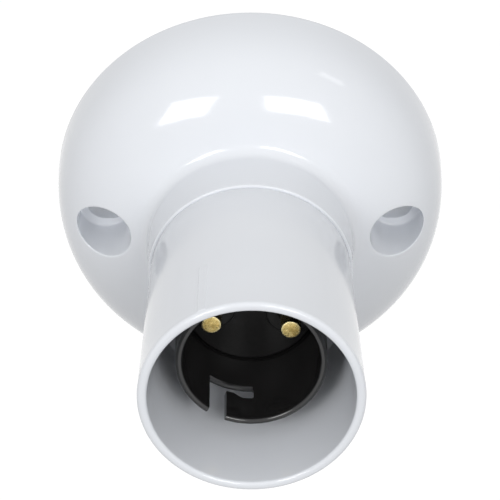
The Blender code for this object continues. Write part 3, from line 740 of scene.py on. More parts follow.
# %% Bosses, pillars, pockets and the key
FIXING_CENTRES = 0.0508
WELL_X = FIXING_CENTRES / 2
WELL_RADIUS = 0.00475
WELL_FLOOR = 0.0077
WELL_WALL = 0.00185
FIXING_HOLE_RADIUS = 0.0032
FIXING_HOLE_DRAW = 0.0010
LUG_CIRCLE = 0.0195
LUG_RADIUS = 0.0028
LUG_ANGLE = radians(45)
PLATE_HEIGHT = 0.0150
BLOCK_SCREW_SHANK = 0.00125
PILOT_SPARE = 0.0004
POCKET_WALL = 0.0014
POCKET_MOUTH = 0.0056
POCKET_FLOOR = 0.0120
TERMINAL_HOLE_RISE = 0.0039
NOTCH_WIDTH = 0.0038
MOULD_ROUND = 0.0003
KEY_ANGLE = radians(135) + INNER_TURN
KEY_WIDTH = 0.0020
KEY_DEPTH = 0.0008
KEY_LENGTH = 0.0068
TRIM_ROWS = 16
TRIM_SIDES = 80
WELL_SIDES = 64
PILLAR_SIDES = 48
HOLE_SIDES = 32
BACK_SIDES = 12
SIDE_PIECES = ((-1, "left"), (1, "right"))
LUG_TURNS = (LUG_ANGLE, LUG_ANGLE + pi)
LUG_PLACES = [(LUG_CIRCLE * cos(turn + INNER_TURN), LUG_CIRCLE * sin(turn + INNER_TURN))
              for turn in LUG_TURNS]


def trimmed_inside(piece):
    """Cut a solid back to the dome that lies halfway through the wall."""
    foot = -2 * PAST
    radius, height = BASE_RADIUS - BASE_WALL / 2, DOME_HEIGHT - BASE_WALL / 2
    curve = evenly(lambda a: dome_point(a, radius, height), 0, pi / 2, TRIM_ROWS)
    core = spun("core", [(0, foot), (radius, foot)] + curve[:-1] + [(0, height)], TRIM_SIDES)
    return combine(piece, core, "INTERSECT")


def pocket(node):
    """The walls round a terminal, the hollow in them, and the notch its wires pass."""
    low, high = box_of(node)
    side = CLEAR + POCKET_WALL
    walls = block("walls", (low[0] - side, low[1] - side, POCKET_MOUTH),
                  (high[0] + side, high[1] + side, DOME_HEIGHT))
    soften(walls, MOULD_ROUND, 3, sharp_below(DOME_HEIGHT - CLEAR))
    hollow = block("hollow", (low[0] - CLEAR, low[1] - CLEAR, -PAST),
                   (high[0] + CLEAR, high[1] + CLEAR, POCKET_FLOOR))
    soften(hollow, MOULD_ROUND, 2, sharp_above(0))
    middle = (low[1] + high[1]) / 2
    top = low[2] + TERMINAL_HOLE_RISE + NOTCH_WIDTH / 2
    notch = block("notch", (low[0] - side - PAST, middle - NOTCH_WIDTH / 2, -PAST),
                  (high[0] + side + PAST, middle + NOTCH_WIDTH / 2, top))
    soften(notch, MOULD_ROUND, 2, sharp_above(top - CLEAR))
    return trimmed_inside(walls), hollow, notch


def stand_inside():
    """Everything that is added inside the shell, and what is cut out of it."""
    hollows, notches = [], []
    solids = [rod("boss", WELL_RADIUS + WELL_WALL, -PAST, DOME_HEIGHT, WELL_SIDES, (side * WELL_X, 0))
              for side, _ in SIDE_PIECES]
    solids += [rod("pillar", LUG_RADIUS, PLATE_HEIGHT, DOME_HEIGHT, PILLAR_SIDES, place)
               for place in LUG_PLACES]
    added = [trimmed_inside(solid) for solid in solids]
    for node in ("loop_terminal", "earth_terminal"):
        walls, hollow, notch = pocket(node)
        added.append(walls)
        hollows.append(hollow)
        notches.append(notch)
    key = block("key", (COLLAR_BORE - KEY_DEPTH, -KEY_WIDTH / 2, LEDGE_FOOT - KEY_LENGTH),
                (COLLAR_BORE + KEY_DEPTH, KEY_WIDTH / 2, LEDGE_FOOT + KEY_DEPTH),
                Matrix.Rotation(KEY_ANGLE, 4, "Z"))
    added.append(key)
    return joined(added), joined(hollows), joined(notches)


inside, hollows, notches = stand_inside()
combine(base, inside, "UNION")
combine(base, hollows, "DIFFERENCE")
combine(base, notches, "DIFFERENCE")
behind = rod("behind", BASE_RADIUS + PAST, -3 * PAST, 0, BACK_SIDES)
combine(base, behind, "DIFFERENCE")
print("base with its inside:", len(base.data.polygons), "faces")

# %% [markdown]
# ### The fixing wells
#
# Each well is a round pit whose mouth follows the dome. A Boolean cut would leave ragged
# faces along that mouth, and a gloss finish shows every one of them. So the mouth is made
# the way a modeller would patch it: a square of faces is taken out of the skin, a circle
# is bridged to the hole and laid onto a clean copy of the dome, and the circle is then
# extruded down to the floor. Now the edge of the mouth is one tidy loop, and a bevel
# rounds it.

# %% Open the skin and bridge a circle into it
WELL_BLOCK_ANGLE = radians(15.5)
WELL_BLOCK_MARGIN = 0.0013
MOUTH_ROUND = 0.00045
FLOOR_ROUND = 0.0004
BRIDGE_ROWS = 3
CLEAN_START = 0.02
CLEAN_ROWS = 160
FACES_UP = 0.05
MOUTH_ANGLE = radians(25)

clean_dome = section_line("clean_dome", evenly(dome_point, CLEAN_START, pi / 2, CLEAN_ROWS), False)
pick(clean_dome, "VERT", lambda v: True)
bpy.ops.mesh.spin(steps=2 * SIDES, angle=2 * pi, center=(0, 0, 0), axis=(0, 0, 1),
                  use_auto_merge=True)
done_editing()


def in_well_block(face, side):
    """True for a face of the skin that lies round a well."""
    middle = middle_of(face)
    radius = hypot(middle.x, middle.y)
    turn = abs(atan2(middle.y, side * middle.x))
    outside = face.normal.z > FACES_UP and middle.z > dome_height(radius) - BASE_WALL / 3
    return (outside and turn < WELL_BLOCK_ANGLE
            and dome_point(LEAVE)[0] < radius < WELL_X + WELL_RADIUS + WELL_BLOCK_MARGIN)


def dome_height(radius):
    """The height of the dome's skin over the wall, at a distance from the lamp axis."""
    if radius >= BASE_RADIUS:
        return 0.0
    return dome_point(first_angle(lambda a: dome_point(a)[0] < radius))[1]


def open_well(side, word):
    """Take a square of faces out of the skin and bridge a circle to the hole."""
    taken = pick(base, "FACE", lambda f: in_well_block(f, side))
    bpy.ops.mesh.delete(type="FACE")
    pick_open_edges()
    around = sum(e.select for e in bmesh.from_edit_mesh(base.data).edges)
    bpy.ops.mesh.primitive_circle_add(vertices=around, radius=WELL_RADIUS,
                                      location=(side * WELL_X, 0, dome_height(WELL_X)))
    pick_open_edges(wire=True)
    bpy.ops.mesh.bridge_edge_loops(type="SINGLE", number_cuts=BRIDGE_ROWS, interpolation="LINEAR")
    bpy.ops.object.vertex_group_add()
    base.vertex_groups.active.name = "mouth"
    bpy.ops.object.vertex_group_assign()
    done_editing()
    print(f"{word} well: {taken} faces out, {around} points round its mouth")


def lay_on_dome():
    """Drop the bridged points straight onto the clean dome."""
    only(base)
    bpy.ops.object.modifier_add(type="SHRINKWRAP")
    wrap = base.modifiers[-1]
    wrap.target = clean_dome
    wrap.vertex_group = "mouth"
    wrap.wrap_method = "PROJECT"
    wrap.use_project_z = True
    wrap.use_negative_direction = True
    wrap.use_positive_direction = True
    bpy.ops.object.modifier_apply(modifier=wrap.name)
    base.vertex_groups.remove(base.vertex_groups["mouth"])


def sink_well(side):
    """Extrude the mouth down to a flat floor and close it."""
    only(base)
    bpy.ops.object.mode_set(mode="EDIT")
    pick_open_edges()
    bpy.ops.mesh.extrude_region_move(TRANSFORM_OT_translate={"value": (0, 0, -PAST)})
    bpy.ops.transform.resize(value=(1, 1, 0), center_override=(side * WELL_X, 0, WELL_FLOOR))
    bpy.ops.mesh.edge_face_add()
    bpy.ops.mesh.select_all(action="SELECT")
    bpy.ops.mesh.normals_make_consistent(inside=False)
    done_editing()


for side, word in SIDE_PIECES:
    open_well(side, word)
    lay_on_dome()
    sink_well(side)
bpy.data.objects.remove(clean_dome, do_unlink=True)


# %% Round the mouths and drill the fixing holes
def on_round(edge, x, radius):
    """True for an edge that lies on a round wall about a point left or right of the axis."""
    return all(near(hypot(abs(v.co.x) - x, v.co.y), radius) for v in edge.verts)


soften(base, MOUTH_ROUND, 4, lambda e: on_round(e, WELL_X, WELL_RADIUS)
       and is_sharp(e, MOUTH_ANGLE) and middle_of(e).z > WELL_FLOOR + PAST)
soften(base, FLOOR_ROUND, 3, lambda e: on_round(e, WELL_X, WELL_RADIUS)
       and is_sharp(e) and near(middle_of(e).z, WELL_FLOOR))


def drawn_hole(side):
    """A rod for a fixing hole, its inner half moved a little towards the lamp axis."""
    hole = rod("hole", FIXING_HOLE_RADIUS, -PAST, WELL_FLOOR + PAST, PILLAR_SIDES, (side * WELL_X, 0))
    pick(hole, "VERT", lambda v: abs(v.co.x) < WELL_X - WELD)
    bpy.ops.transform.translate(value=(-side * FIXING_HOLE_DRAW, 0, 0))
    done_editing()
    return hole


combine(base, joined([drawn_hole(side) for side, _ in SIDE_PIECES]), "DIFFERENCE")


def hole_distance(point):
    """The distance to the short line that a drawn-out fixing hole follows."""
    across = abs(point.x)
    return hypot(across - min(max(across, WELL_X - FIXING_HOLE_DRAW), WELL_X), point.y)


soften(base, RIM_ROUND, 2, lambda e: is_sharp(e) and all(
    near(hole_distance(v.co), FIXING_HOLE_RADIUS) for v in e.verts))
pilot_end = foot_and_top("block_screw_upper")[1] + PILOT_SPARE
pilots = [rod("pilot", BLOCK_SCREW_SHANK + CLEAR, PLATE_HEIGHT - PAST, pilot_end, HOLE_SIDES, place)
          for place in LUG_PLACES]
combine(base, joined(pilots), "DIFFERENCE")
finished(base, WHITE, "holder", "dome_base", matrix=lamp_axis(), smooth=SMOOTH_WHITE)

# %% [markdown]
# ## The skirt
#
# The skirt is the long white tube that screws down over the barrel. It flares a little
# towards its mouth, so that it leaves the mould, and its mouth is rounded on both sides.
# A thin rib on the outside marks where its mould was gated. One column of faces, inset
# and pushed out a hair, is all that the rib is.

# %% The section of the skirt
SEAM = 0.0001
SKIRT_WALL = 0.0016
OUTER_ROUND = 0.0007
INNER_ROUND = 0.0006
THREAD_LENGTH = 0.0079
THREAD_RUNOUT = 0.0020
RIB_ANGLE = radians(115.6)
RIB_LENGTH = 0.0136
RIB_HEIGHT = 0.00015
WALL_ROWS = 6
COLUMN = 2 * pi / SIDES

_, SKIRT_FOOT_RADIUS = radii_near("skirt", SKIRT_FOOT)
BAND_TOP = SKIRT_FOOT + THREAD_LENGTH
RIB_FOOT = MOUTH_TOP - OUTER_ROUND - RIB_LENGTH


def skirt_radius(height):
    """The outer radius of the flared wall at a height."""
    share = (height - SKIRT_FOOT) / (MOUTH_TOP - SKIRT_FOOT)
    return SKIRT_FOOT_RADIUS + (MOUTH_RADIUS - SKIRT_FOOT_RADIUS) * share


def skirt_section():
    """The seat on the collar, the flared wall, the rounded mouth, and the threaded band."""
    wall_top = MOUTH_TOP - OUTER_ROUND
    inner_mouth = MOUTH_RADIUS - SKIRT_WALL
    seat = COLLAR_TOP + SEAM
    foot = (SKIRT_FOOT_RADIUS - EDGE_ROUND, seat + EDGE_ROUND)
    inner_foot = BAND_TOP + THREAD_RUNOUT
    inner_top = MOUTH_TOP - INNER_ROUND
    rows = [SKIRT_FOOT + (RIB_FOOT - SKIRT_FOOT) * i / WALL_ROWS for i in range(1, WALL_ROWS + 1)]
    rows += [(RIB_FOOT + wall_top) / 2, wall_top - HOLDING_ROW]
    section = [(LEDGE_HOLE, seat)] + arc(foot, EDGE_ROUND, -pi / 2, 0, 3)
    section += [(skirt_radius(z), z) for z in rows]
    section += arc((MOUTH_RADIUS - OUTER_ROUND, wall_top), OUTER_ROUND, 0, pi / 2, 8)
    section += arc((inner_mouth + INNER_ROUND, inner_top), INNER_ROUND, pi / 2, pi, 8)
    section += [(skirt_radius(z) - SKIRT_WALL, z) for z in (inner_top - HOLDING_ROW, inner_foot)]
    return section + [(LEDGE_HOLE, BAND_TOP)]


skirt = spun("skirt_moulding", skirt_section(), SIDES, start=RIB_ANGLE)


def in_rib(face):
    """True for a face of the outer skin in the one column that carries the rib."""
    middle = middle_of(face)
    turn = atan2(middle.y, middle.x) - RIB_ANGLE
    outside = hypot(middle.x, middle.y) > skirt_radius(middle.z) - SKIRT_WALL / 2
    return outside and abs(turn) < COLUMN and RIB_FOOT < middle.z < MOUTH_TOP - OUTER_ROUND


print("faces in the rib:", pick(skirt, "FACE", in_rib))
bpy.ops.mesh.inset(thickness=RIB_HEIGHT, depth=RIB_HEIGHT)
done_editing()

# %% [markdown]
# ### A thread
#
# A thread is a short section swept along a helix. The Screw modifier does just that. The
# ridge it makes is a solid of its own, which is cut out of the band at the foot of the
# skirt, and later out of the neck of the barrel.

# %% Cut a thread
PITCH = 0.0020
THREAD_DEPTH = 0.0006
THREAD_STEPS = 72
ROOT_SHARE = 0.36
CREST_SHARE = 0.16


def swept(name, section, pitch, turns, steps):
    """A closed section swept up a helix, as a solid of its own."""
    ridge = section_line(name, section, True)
    only(ridge)
    bpy.ops.object.modifier_add(type="SCREW")
    sweep = ridge.modifiers[-1]
    sweep.screw_offset = pitch
    sweep.iterations = turns
    sweep.steps = sweep.render_steps = steps
    bpy.ops.object.modifier_apply(modifier=sweep.name)
    return close_ends(ridge)


def thread_ridge(name, root, crest, low, high):
    """A helical ridge that narrows from its root radius to its crest radius."""
    wide, narrow = PITCH * ROOT_SHARE, PITCH * CREST_SHARE
    section = [(root, low + wide), (crest, low + narrow), (crest, low - narrow), (root, low - wide)]
    return swept(name, section, PITCH, int((high - low) / PITCH), THREAD_STEPS)


def close_ends(piece):
    """Cap any open end and face everything outwards."""
    only(piece)
    bpy.ops.object.mode_set(mode="EDIT")
    bpy.ops.mesh.select_mode(type="EDGE")
    bpy.ops.mesh.select_all(action="SELECT")
    bpy.ops.mesh.remove_doubles(threshold=WELD)
    bpy.ops.mesh.fill_holes(sides=0)
    bpy.ops.mesh.select_all(action="SELECT")
    bpy.ops.mesh.normals_make_consistent(inside=False)
    done_editing()
    return piece


groove = thread_ridge("skirt_thread", LEDGE_HOLE - THREAD_DEPTH, LEDGE_HOLE + THREAD_DEPTH,
                      SKIRT_FOOT - PITCH / 2, BAND_TOP + PITCH)
combine(skirt, groove, "DIFFERENCE")
finished(skirt, WHITE, "skirt", "skirt", matrix=lamp_axis(), smooth=SMOOTH_WHITE)

# %% [markdown]
# ## The bayonet barrel
#
# The barrel takes the cap of the lamp. Its lip is a full round, and two slots shaped like
# a J let the pins of the cap in: straight down, round the barrel, and back up into a seat.
# Each stretch of a slot is a flat face spun through part of a turn, so its walls point at
# the lamp axis as those of a mould slide do. A wedge spun the same way makes the ramp that
# leads from the run up into the seat.

# %% The section of the barrel
LIP_ROUND = 0.000575
FLANGE_ROUND = 0.00015
NECK_CHAMFER = 0.0005
BARREL_SIDES = 128
BORE_RADIUS, TUBE_RADIUS = radii_near("bayonet_barrel", LIP_TOP - LIP_ROUND, reach=0.0001)
FLANGE_TOP = LEDGE_FOOT - CLEAR
NECK_TOP = BAND_TOP + CLEAR


def barrel_section():
    """The flange, the threaded neck, and the tube with its rounded lip."""
    foot_round = (FLANGE_RADIUS - FLANGE_ROUND, FLANGE_FOOT + FLANGE_ROUND)
    top_round = (FLANGE_RADIUS - FLANGE_ROUND, FLANGE_TOP - FLANGE_ROUND)
    neck_round = (NECK_RADIUS - NECK_CHAMFER, NECK_TOP - NECK_CHAMFER)
    corner = (TUBE_RADIUS + FLANGE_ROUND, NECK_TOP + FLANGE_ROUND)
    section = [(BORE_RADIUS, FLANGE_FOOT)] + arc(foot_round, FLANGE_ROUND, -pi / 2, 0, 2)
    section += arc(top_round, FLANGE_ROUND, 0, pi / 2, 2) + [(NECK_RADIUS, FLANGE_TOP)]
    section += arc(neck_round, NECK_CHAMFER, 0, pi / 2, 4)
    section += arc(corner, FLANGE_ROUND, -pi / 2, -pi, 3)
    section += arc((BORE_RADIUS + LIP_ROUND, LIP_TOP - LIP_ROUND), LIP_ROUND, 0, pi, 12)
    return section


barrel = spun("bayonet_barrel_moulding", barrel_section(), BARREL_SIDES, start=pi / BARREL_SIDES)

# %% Two J slots
SLOT_WIDTH = 0.0032
SLOT_FAR_DEPTH = 0.0095
SLOT_RUN_WIDTH = 0.0023
SLOT_ENTRY_ANGLE = radians(-24.8)
SEAT_END = 0.0013
SEAT_FLAT = 0.0005
SEAT_SLOPE = 0.0021
SEAT_ROUND = 0.0010
SEAT_DIP = 0.0011
RAMP_LAP = 0.9
SLOT_CORNER = 0.0005
SLOT_EDGE_ROUND = 0.00012
SLOT_EDGE_ANGLE = radians(50)


def sector(name, low, high, start, end, steps):
    """A square section spun through part of a turn; low and high are (radius, height)."""
    piece = section_line(name, [low, (high[0], low[1]), high, (low[0], high[1])], True)
    pick(piece, "VERT", lambda v: True)
    bpy.ops.mesh.spin(steps=steps, angle=start - end, center=(0, 0, 0), axis=(0, 0, 1))
    done_editing()
    return settle(close_ends(piece), Matrix.Rotation(start, 4, "Z"))


def crosses_wall(edge):
    """True for a sharp edge of a cutter that passes through the wall of the tube."""
    reach = [hypot(v.co.x, v.co.y) for v in edge.verts]
    return is_sharp(edge) and abs(reach[0] - reach[1]) > PAST


def closes_slot(edge):
    """True for such an edge where the slot ends, beyond the middle of its seat."""
    return crosses_wall(edge) and middle_of(edge).y > 0


def slot_cutter(seat_angle):
    """One J: the way in, the run round the barrel, and the seat with the ramp up to it."""
    far = LIP_TOP - SLOT_FAR_DEPTH
    near_side = far + SLOT_RUN_WIDTH
    corner, bed = near_side - SLOT_CORNER, near_side + SEAT_DIP
    half, end, flat, slope = [along / BORE_RADIUS
                              for along in (SLOT_WIDTH / 2, SEAT_END, SEAT_FLAT, SEAT_SLOPE)]
    start = SLOT_ENTRY_ANGLE - half
    inner, outer = BORE_RADIUS - PAST, TUBE_RADIUS + PAST
    way_in = sector("way_in", (inner, far), (outer, LIP_TOP + PAST), start, SLOT_ENTRY_ANGLE + half, 4)
    run = sector("run", (inner - WELD, far), (outer + WELD, near_side), start, end, 12)
    soften(run, SEAT_ROUND, 5, lambda e: closes_slot(e) and middle_of(e).z < near_side - PAST)
    seat = sector("seat", (inner + WELD, corner), (outer - WELD, bed), -flat, end, 4)
    soften(seat, SEAT_ROUND, 5, lambda e: closes_slot(e) and middle_of(e).z > near_side)
    ramp = sector("ramp", (inner, corner), (outer, bed - WELD), -slope, -flat * RAMP_LAP, 1)
    pick(ramp, "VERT", lambda v: v.co.z > near_side and atan2(v.co.y, v.co.x) < -(slope + flat) / 2)
    bpy.ops.transform.translate(value=(0, 0, -SEAT_DIP))
    done_editing()
    cutter = way_in
    for part in (run, seat, ramp):
        combine(cutter, part, "UNION")
    soften(cutter, SLOT_CORNER, 4, lambda e: crosses_wall(e) and near(middle_of(e).z, far))
    return settle(cutter, Matrix.Rotation(seat_angle, 4, "Z"))


def on_slot(edge):
    """True for the edges that a slot leaves in the bore and on the outside of the tube."""
    ends = [hypot(v.co.x, v.co.y) for v in edge.verts]
    on_face = any(all(abs(r - face) < LIP_ROUND / 4 for r in ends)
                  for face in (BORE_RADIUS, TUBE_RADIUS))
    return on_face and is_sharp(edge, SLOT_EDGE_ANGLE) and middle_of(edge).z > NECK_TOP + CLEAR


for seat_angle in (-pi / 2, pi / 2):
    combine(barrel, slot_cutter(seat_angle), "DIFFERENCE")
pick(barrel, "VERT", lambda v: v.co.z > NECK_TOP + CLEAR)
bpy.ops.mesh.remove_doubles(threshold=SLOT_EDGE_ROUND / 3)
done_editing()
soften(barrel, SLOT_EDGE_ROUND, 2, on_slot)


# %% Thread the neck and notch the flange
def key_notch():
    """Room for the key of the collar, in the rim of a black piece."""
    half = KEY_WIDTH / 2 + CLEAR
    return block("notch", (COLLAR_BORE - KEY_DEPTH - CLEAR, -half, -PAST),
                 (COLLAR_BORE + PAST, half, COLLAR_TOP + PAST),
                 Matrix.Rotation(KEY_ANGLE - INNER_TURN, 4, "Z"))


groove = thread_ridge("neck_thread", NECK_RADIUS + THREAD_DEPTH, NECK_RADIUS - THREAD_DEPTH,
                      SKIRT_FOOT - PITCH / 4, NECK_TOP + PITCH)
combine(barrel, groove, "DIFFERENCE")
combine(barrel, key_notch(), "DIFFERENCE")
finished(barrel, BLACK, "holder", "bayonet_barrel",
         matrix=lamp_axis(INNER_TURN), smooth=SMOOTH_BLACK)

# %% [markdown]
# ## The contact block
#
# Behind the barrel sits a second black moulding. Its nose closes the bottom of the socket
# and guides the two contacts, each through a boss. Its back carries the brass posts, with
# a barrier between them, and hollow corners that keep the moulding from sinking.

# %% Nose, bosses and plate
BLOCK_SIDES = 96
BOSS_RADIUS = 0.0042
BOSS_HEIGHT = 0.0018
BOSS_ROUND = 0.00035
BOSS_SIDES = 64
PLATE_THICKNESS = 0.0023
PLUNGER_RADIUS = 0.0017
POST_RADIUS = 0.0033
CORE_WIDTH = 0.0134
CORE_FACE = 0.0050
CORE_REACH = 0.0060
CORE_DEPTH = 0.0100
BARRIER_THICKNESS = 0.0016
BARRIER_WIDTH = 0.0190
CONTACT_X = CONTACT_SPACING / 2

BARRIER_FOOT, BOSS_TOP = foot_and_top("contact_block")
FLOOR_HEIGHT = BOSS_TOP - BOSS_HEIGHT
PLATE_TOP = PLATE_HEIGHT - CLEAR
PLATE_FOOT = PLATE_TOP - PLATE_THICKNESS
SPRING_FOOT = foot_and_top("plunger_spring_left")[0] - CLEAR
POST_FOOT, POST_TOP = foot_and_top("terminal_post_left")


def block_section():
    """The round plate, and the nose that stands up into the barrel."""
    shoulder = FLANGE_FOOT - CLEAR
    nose = BORE_RADIUS - CLEAR
    foot_round = (FLANGE_RADIUS - MOULD_ROUND, PLATE_FOOT + MOULD_ROUND)
    top_round = (FLANGE_RADIUS - MOULD_ROUND, shoulder - MOULD_ROUND)
    nose_round = (nose - MOULD_ROUND, FLOOR_HEIGHT - MOULD_ROUND)
    return ([(0, PLATE_FOOT)] + arc(foot_round, MOULD_ROUND, -pi / 2, 0, 3)
            + arc(top_round, MOULD_ROUND, 0, pi / 2, 3) + [(nose, shoulder)]
            + arc(nose_round, MOULD_ROUND, 0, pi / 2, 3) + [(0, FLOOR_HEIGHT)])


def boss(side):
    """The round boss about one contact, with a softened rim."""
    edge = (BOSS_RADIUS - BOSS_ROUND, BOSS_TOP - BOSS_ROUND)
    section = [(0, FLOOR_HEIGHT - PAST), (BOSS_RADIUS, FLOOR_HEIGHT - PAST)]
    section += arc(edge, BOSS_ROUND, 0, pi / 2, 5) + [(0, BOSS_TOP)]
    return settle(spun("boss", section, BOSS_SIDES), Matrix.Translation((side * CONTACT_X, 0, 0)))


def lug(turn):
    """A rounded ear that a block screw passes through."""
    arm = block("arm", (BORE_RADIUS, -LUG_RADIUS, PLATE_FOOT), (LUG_CIRCLE, LUG_RADIUS, PLATE_TOP))
    end = rod("end", LUG_RADIUS, PLATE_FOOT, PLATE_TOP, PILLAR_SIDES, (LUG_CIRCLE, 0))
    ear = combine(arm, end, "UNION")
    soften(ear, FLANGE_ROUND, 2, lambda e: is_sharp(e) and middle_of(e).x > FLANGE_RADIUS)
    return settle(ear, Matrix.Rotation(turn, 4, "Z"))


contact_block = spun("contact_block_moulding", block_section(), BLOCK_SIDES)
for side, _ in SIDE_PIECES:
    combine(contact_block, boss(side), "UNION")
for turn in LUG_TURNS:
    combine(contact_block, lug(turn), "UNION")
barrier = block("barrier", (-BARRIER_THICKNESS / 2, -BARRIER_WIDTH / 2, BARRIER_FOOT),
                (BARRIER_THICKNESS / 2, BARRIER_WIDTH / 2, PLATE_TOP))
soften(barrier, MOULD_ROUND, 3, sharp_below(PLATE_FOOT))
combine(contact_block, barrier, "UNION")


# %% Bores, guides and hollow corners
def block_cuts():
    """What is cut out of the block, in sets whose pieces stay apart."""
    bores, guides, cores = [], [], []
    between_spokes = Matrix.Rotation(pi / BOSS_SIDES, 4, "Z")
    for side, _ in SIDE_PIECES:
        bores.append(rod("bore", POST_RADIUS + CLEAR, -PAST, POST_TOP + CLEAR, WELL_SIDES,
                         (side * CONTACT_X, 0)))
        guide = rod("guide", PLUNGER_RADIUS + CLEAR, SPRING_FOOT, BOSS_TOP + PAST, BOSS_SIDES)
        guides.append(settle(guide, Matrix.Translation((side * CONTACT_X, 0, 0)) @ between_spokes))
        for up in (-1, 1):
            xs = sorted((side * BARRIER_THICKNESS / 2, side * CORE_WIDTH / 2))
            ys = sorted((up * CORE_FACE, up * (CORE_FACE + CORE_REACH)))
            core = block("core", (xs[0], ys[0], PLATE_FOOT - PAST),
                         (xs[1], ys[1], PLATE_FOOT + CORE_DEPTH))
            cores.append(soften(core, MOULD_ROUND, 3, sharp_above(PLATE_FOOT)))
    for turn in LUG_TURNS:
        bores.append(rod("lug_hole", BLOCK_SCREW_SHANK + CLEAR, PLATE_FOOT - PAST, PLATE_TOP + PAST,
                         HOLE_SIDES, (LUG_CIRCLE * cos(turn), LUG_CIRCLE * sin(turn))))
    return joined(bores), joined(guides), joined(cores), key_notch()


for tool in block_cuts():
    combine(contact_block, tool, "DIFFERENCE")
soften(contact_block, FLANGE_ROUND, 2, lambda e: on_round(e, CONTACT_X, PLUNGER_RADIUS + CLEAR)
       and is_sharp(e) and all(near(v.co.z, BOSS_TOP) for v in e.verts))
finished(contact_block, DULL_BLACK, "holder", "contact_block",
         matrix=lamp_axis(INNER_TURN), smooth=SMOOTH_BLACK)

# %% [markdown]
# ## Contacts, springs and posts
#
# Each contact is a turned brass pin with a shoulder that stops it in its guide. A spring
# in the post behind it pushes it forward, and a lamp's cap presses it back. The spring is
# one ring of points, extruded and turned a little at a time: close together for the flat
# coil at each end, further apart between them.

# %% Contact pins
PIN_SIDES = 56
SHOULDER_RADIUS = 0.0022
SHOULDER_THICKNESS = 0.0016
SPIGOT_RADIUS = 0.0012
SPIGOT_LENGTH = 0.0012
TIP_ROUND = 0.00025
TIP_CROWN = 0.0001
CROWN_STEPS = (0.66, 0.33, 0)
EDGE_BREAK = 0.0001


def pin_section(foot, top):
    """The pin in steps: spigot, shoulder, body and a slightly crowned tip."""
    tip = top - TIP_CROWN
    shoulder_foot = foot + SPIGOT_LENGTH
    shoulder_top = shoulder_foot + SHOULDER_THICKNESS
    section = [(0, foot), (SPIGOT_RADIUS - EDGE_BREAK, foot), (SPIGOT_RADIUS, foot + EDGE_BREAK),
               (SPIGOT_RADIUS, shoulder_foot), (SHOULDER_RADIUS - EDGE_BREAK, shoulder_foot),
               (SHOULDER_RADIUS, shoulder_foot + EDGE_BREAK),
               (SHOULDER_RADIUS, shoulder_top - EDGE_BREAK),
               (SHOULDER_RADIUS - EDGE_BREAK, shoulder_top), (PLUNGER_RADIUS, shoulder_top)]
    flat = PLUNGER_RADIUS - TIP_ROUND
    section += arc((flat, tip - TIP_ROUND), TIP_ROUND, 0, pi / 2, 6)
    return section + [(flat * k, tip + TIP_CROWN * (1 - k * k)) for k in CROWN_STEPS]


def at_contact(side):
    """From the upright lamp axis to the axis of one contact, in its final place."""
    return lamp_axis(INNER_TURN) @ Matrix.Translation((side * CONTACT_X, 0, 0))


for side, word in SIDE_PIECES:
    pin = spun("contact_pin_" + word, pin_section(*foot_and_top("plunger_" + word)), PIN_SIDES)
    finished(pin, CONTACT_BRASS, "plunger_" + word, "plunger_" + word,
             matrix=at_contact(side), smooth=SMOOTH_METAL)

# %% Springs
SPRING_RADIUS = 0.00185
SPRING_WIRE = 0.0004
SPRING_COILS = 6
COIL_STEPS = 24
WIRE_SIDES = 10
END_PITCH = 0.00046
PLUNGER_TRAVEL = 0.0050


def coil_spring(name, foot, top):
    """A ring of points, extruded round and up along the coils."""
    low, high = foot + SPRING_WIRE / 2, top - SPRING_WIRE / 2
    open_pitch = (high - low - 2 * END_PITCH) / (SPRING_COILS - 2)
    nothing_selected()
    bpy.ops.mesh.primitive_circle_add(vertices=WIRE_SIDES, radius=SPRING_WIRE / 2, fill_type="NGON",
                                      location=(SPRING_RADIUS, 0, low), rotation=(pi / 2, 0, 0))
    spring = settle(bpy.context.object)
    spring.name = name
    pick(spring, "FACE", lambda f: True)
    for step in range(SPRING_COILS * COIL_STEPS):
        coil = step // COIL_STEPS
        pitch = END_PITCH if coil in (0, SPRING_COILS - 1) else open_pitch
        rise = (0, 0, pitch / COIL_STEPS)
        bpy.ops.mesh.extrude_region_move(TRANSFORM_OT_translate={"value": rise})
        bpy.ops.transform.rotate(value=-2 * pi / COIL_STEPS, orient_axis="Z",
                                 center_override=(0, 0, 0))
    done_editing()
    return close_ends(spring)


for side, word in SIDE_PIECES:
    low, high = foot_and_top("plunger_spring_" + word)
    spring = coil_spring("contact_spring_" + word, low, high)
    finished(spring, WIRE, "holder", "plunger_spring_" + word,
             matrix=at_contact(side), smooth=SMOOTH_WIRE)
    1 - PLUNGER_TRAVEL / (high - low)
    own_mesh(spring)

# %% Terminal posts
SPRING_BORE_RADIUS = 0.0025
SCREW_SHANK = 0.00145
WIRE_HOLE_RADIUS = 0.0016
WIRE_HOLE_INSET = 0.0036
WIRE_HOLE_ANGLE = radians(50)
BRASS_SIDES = 40


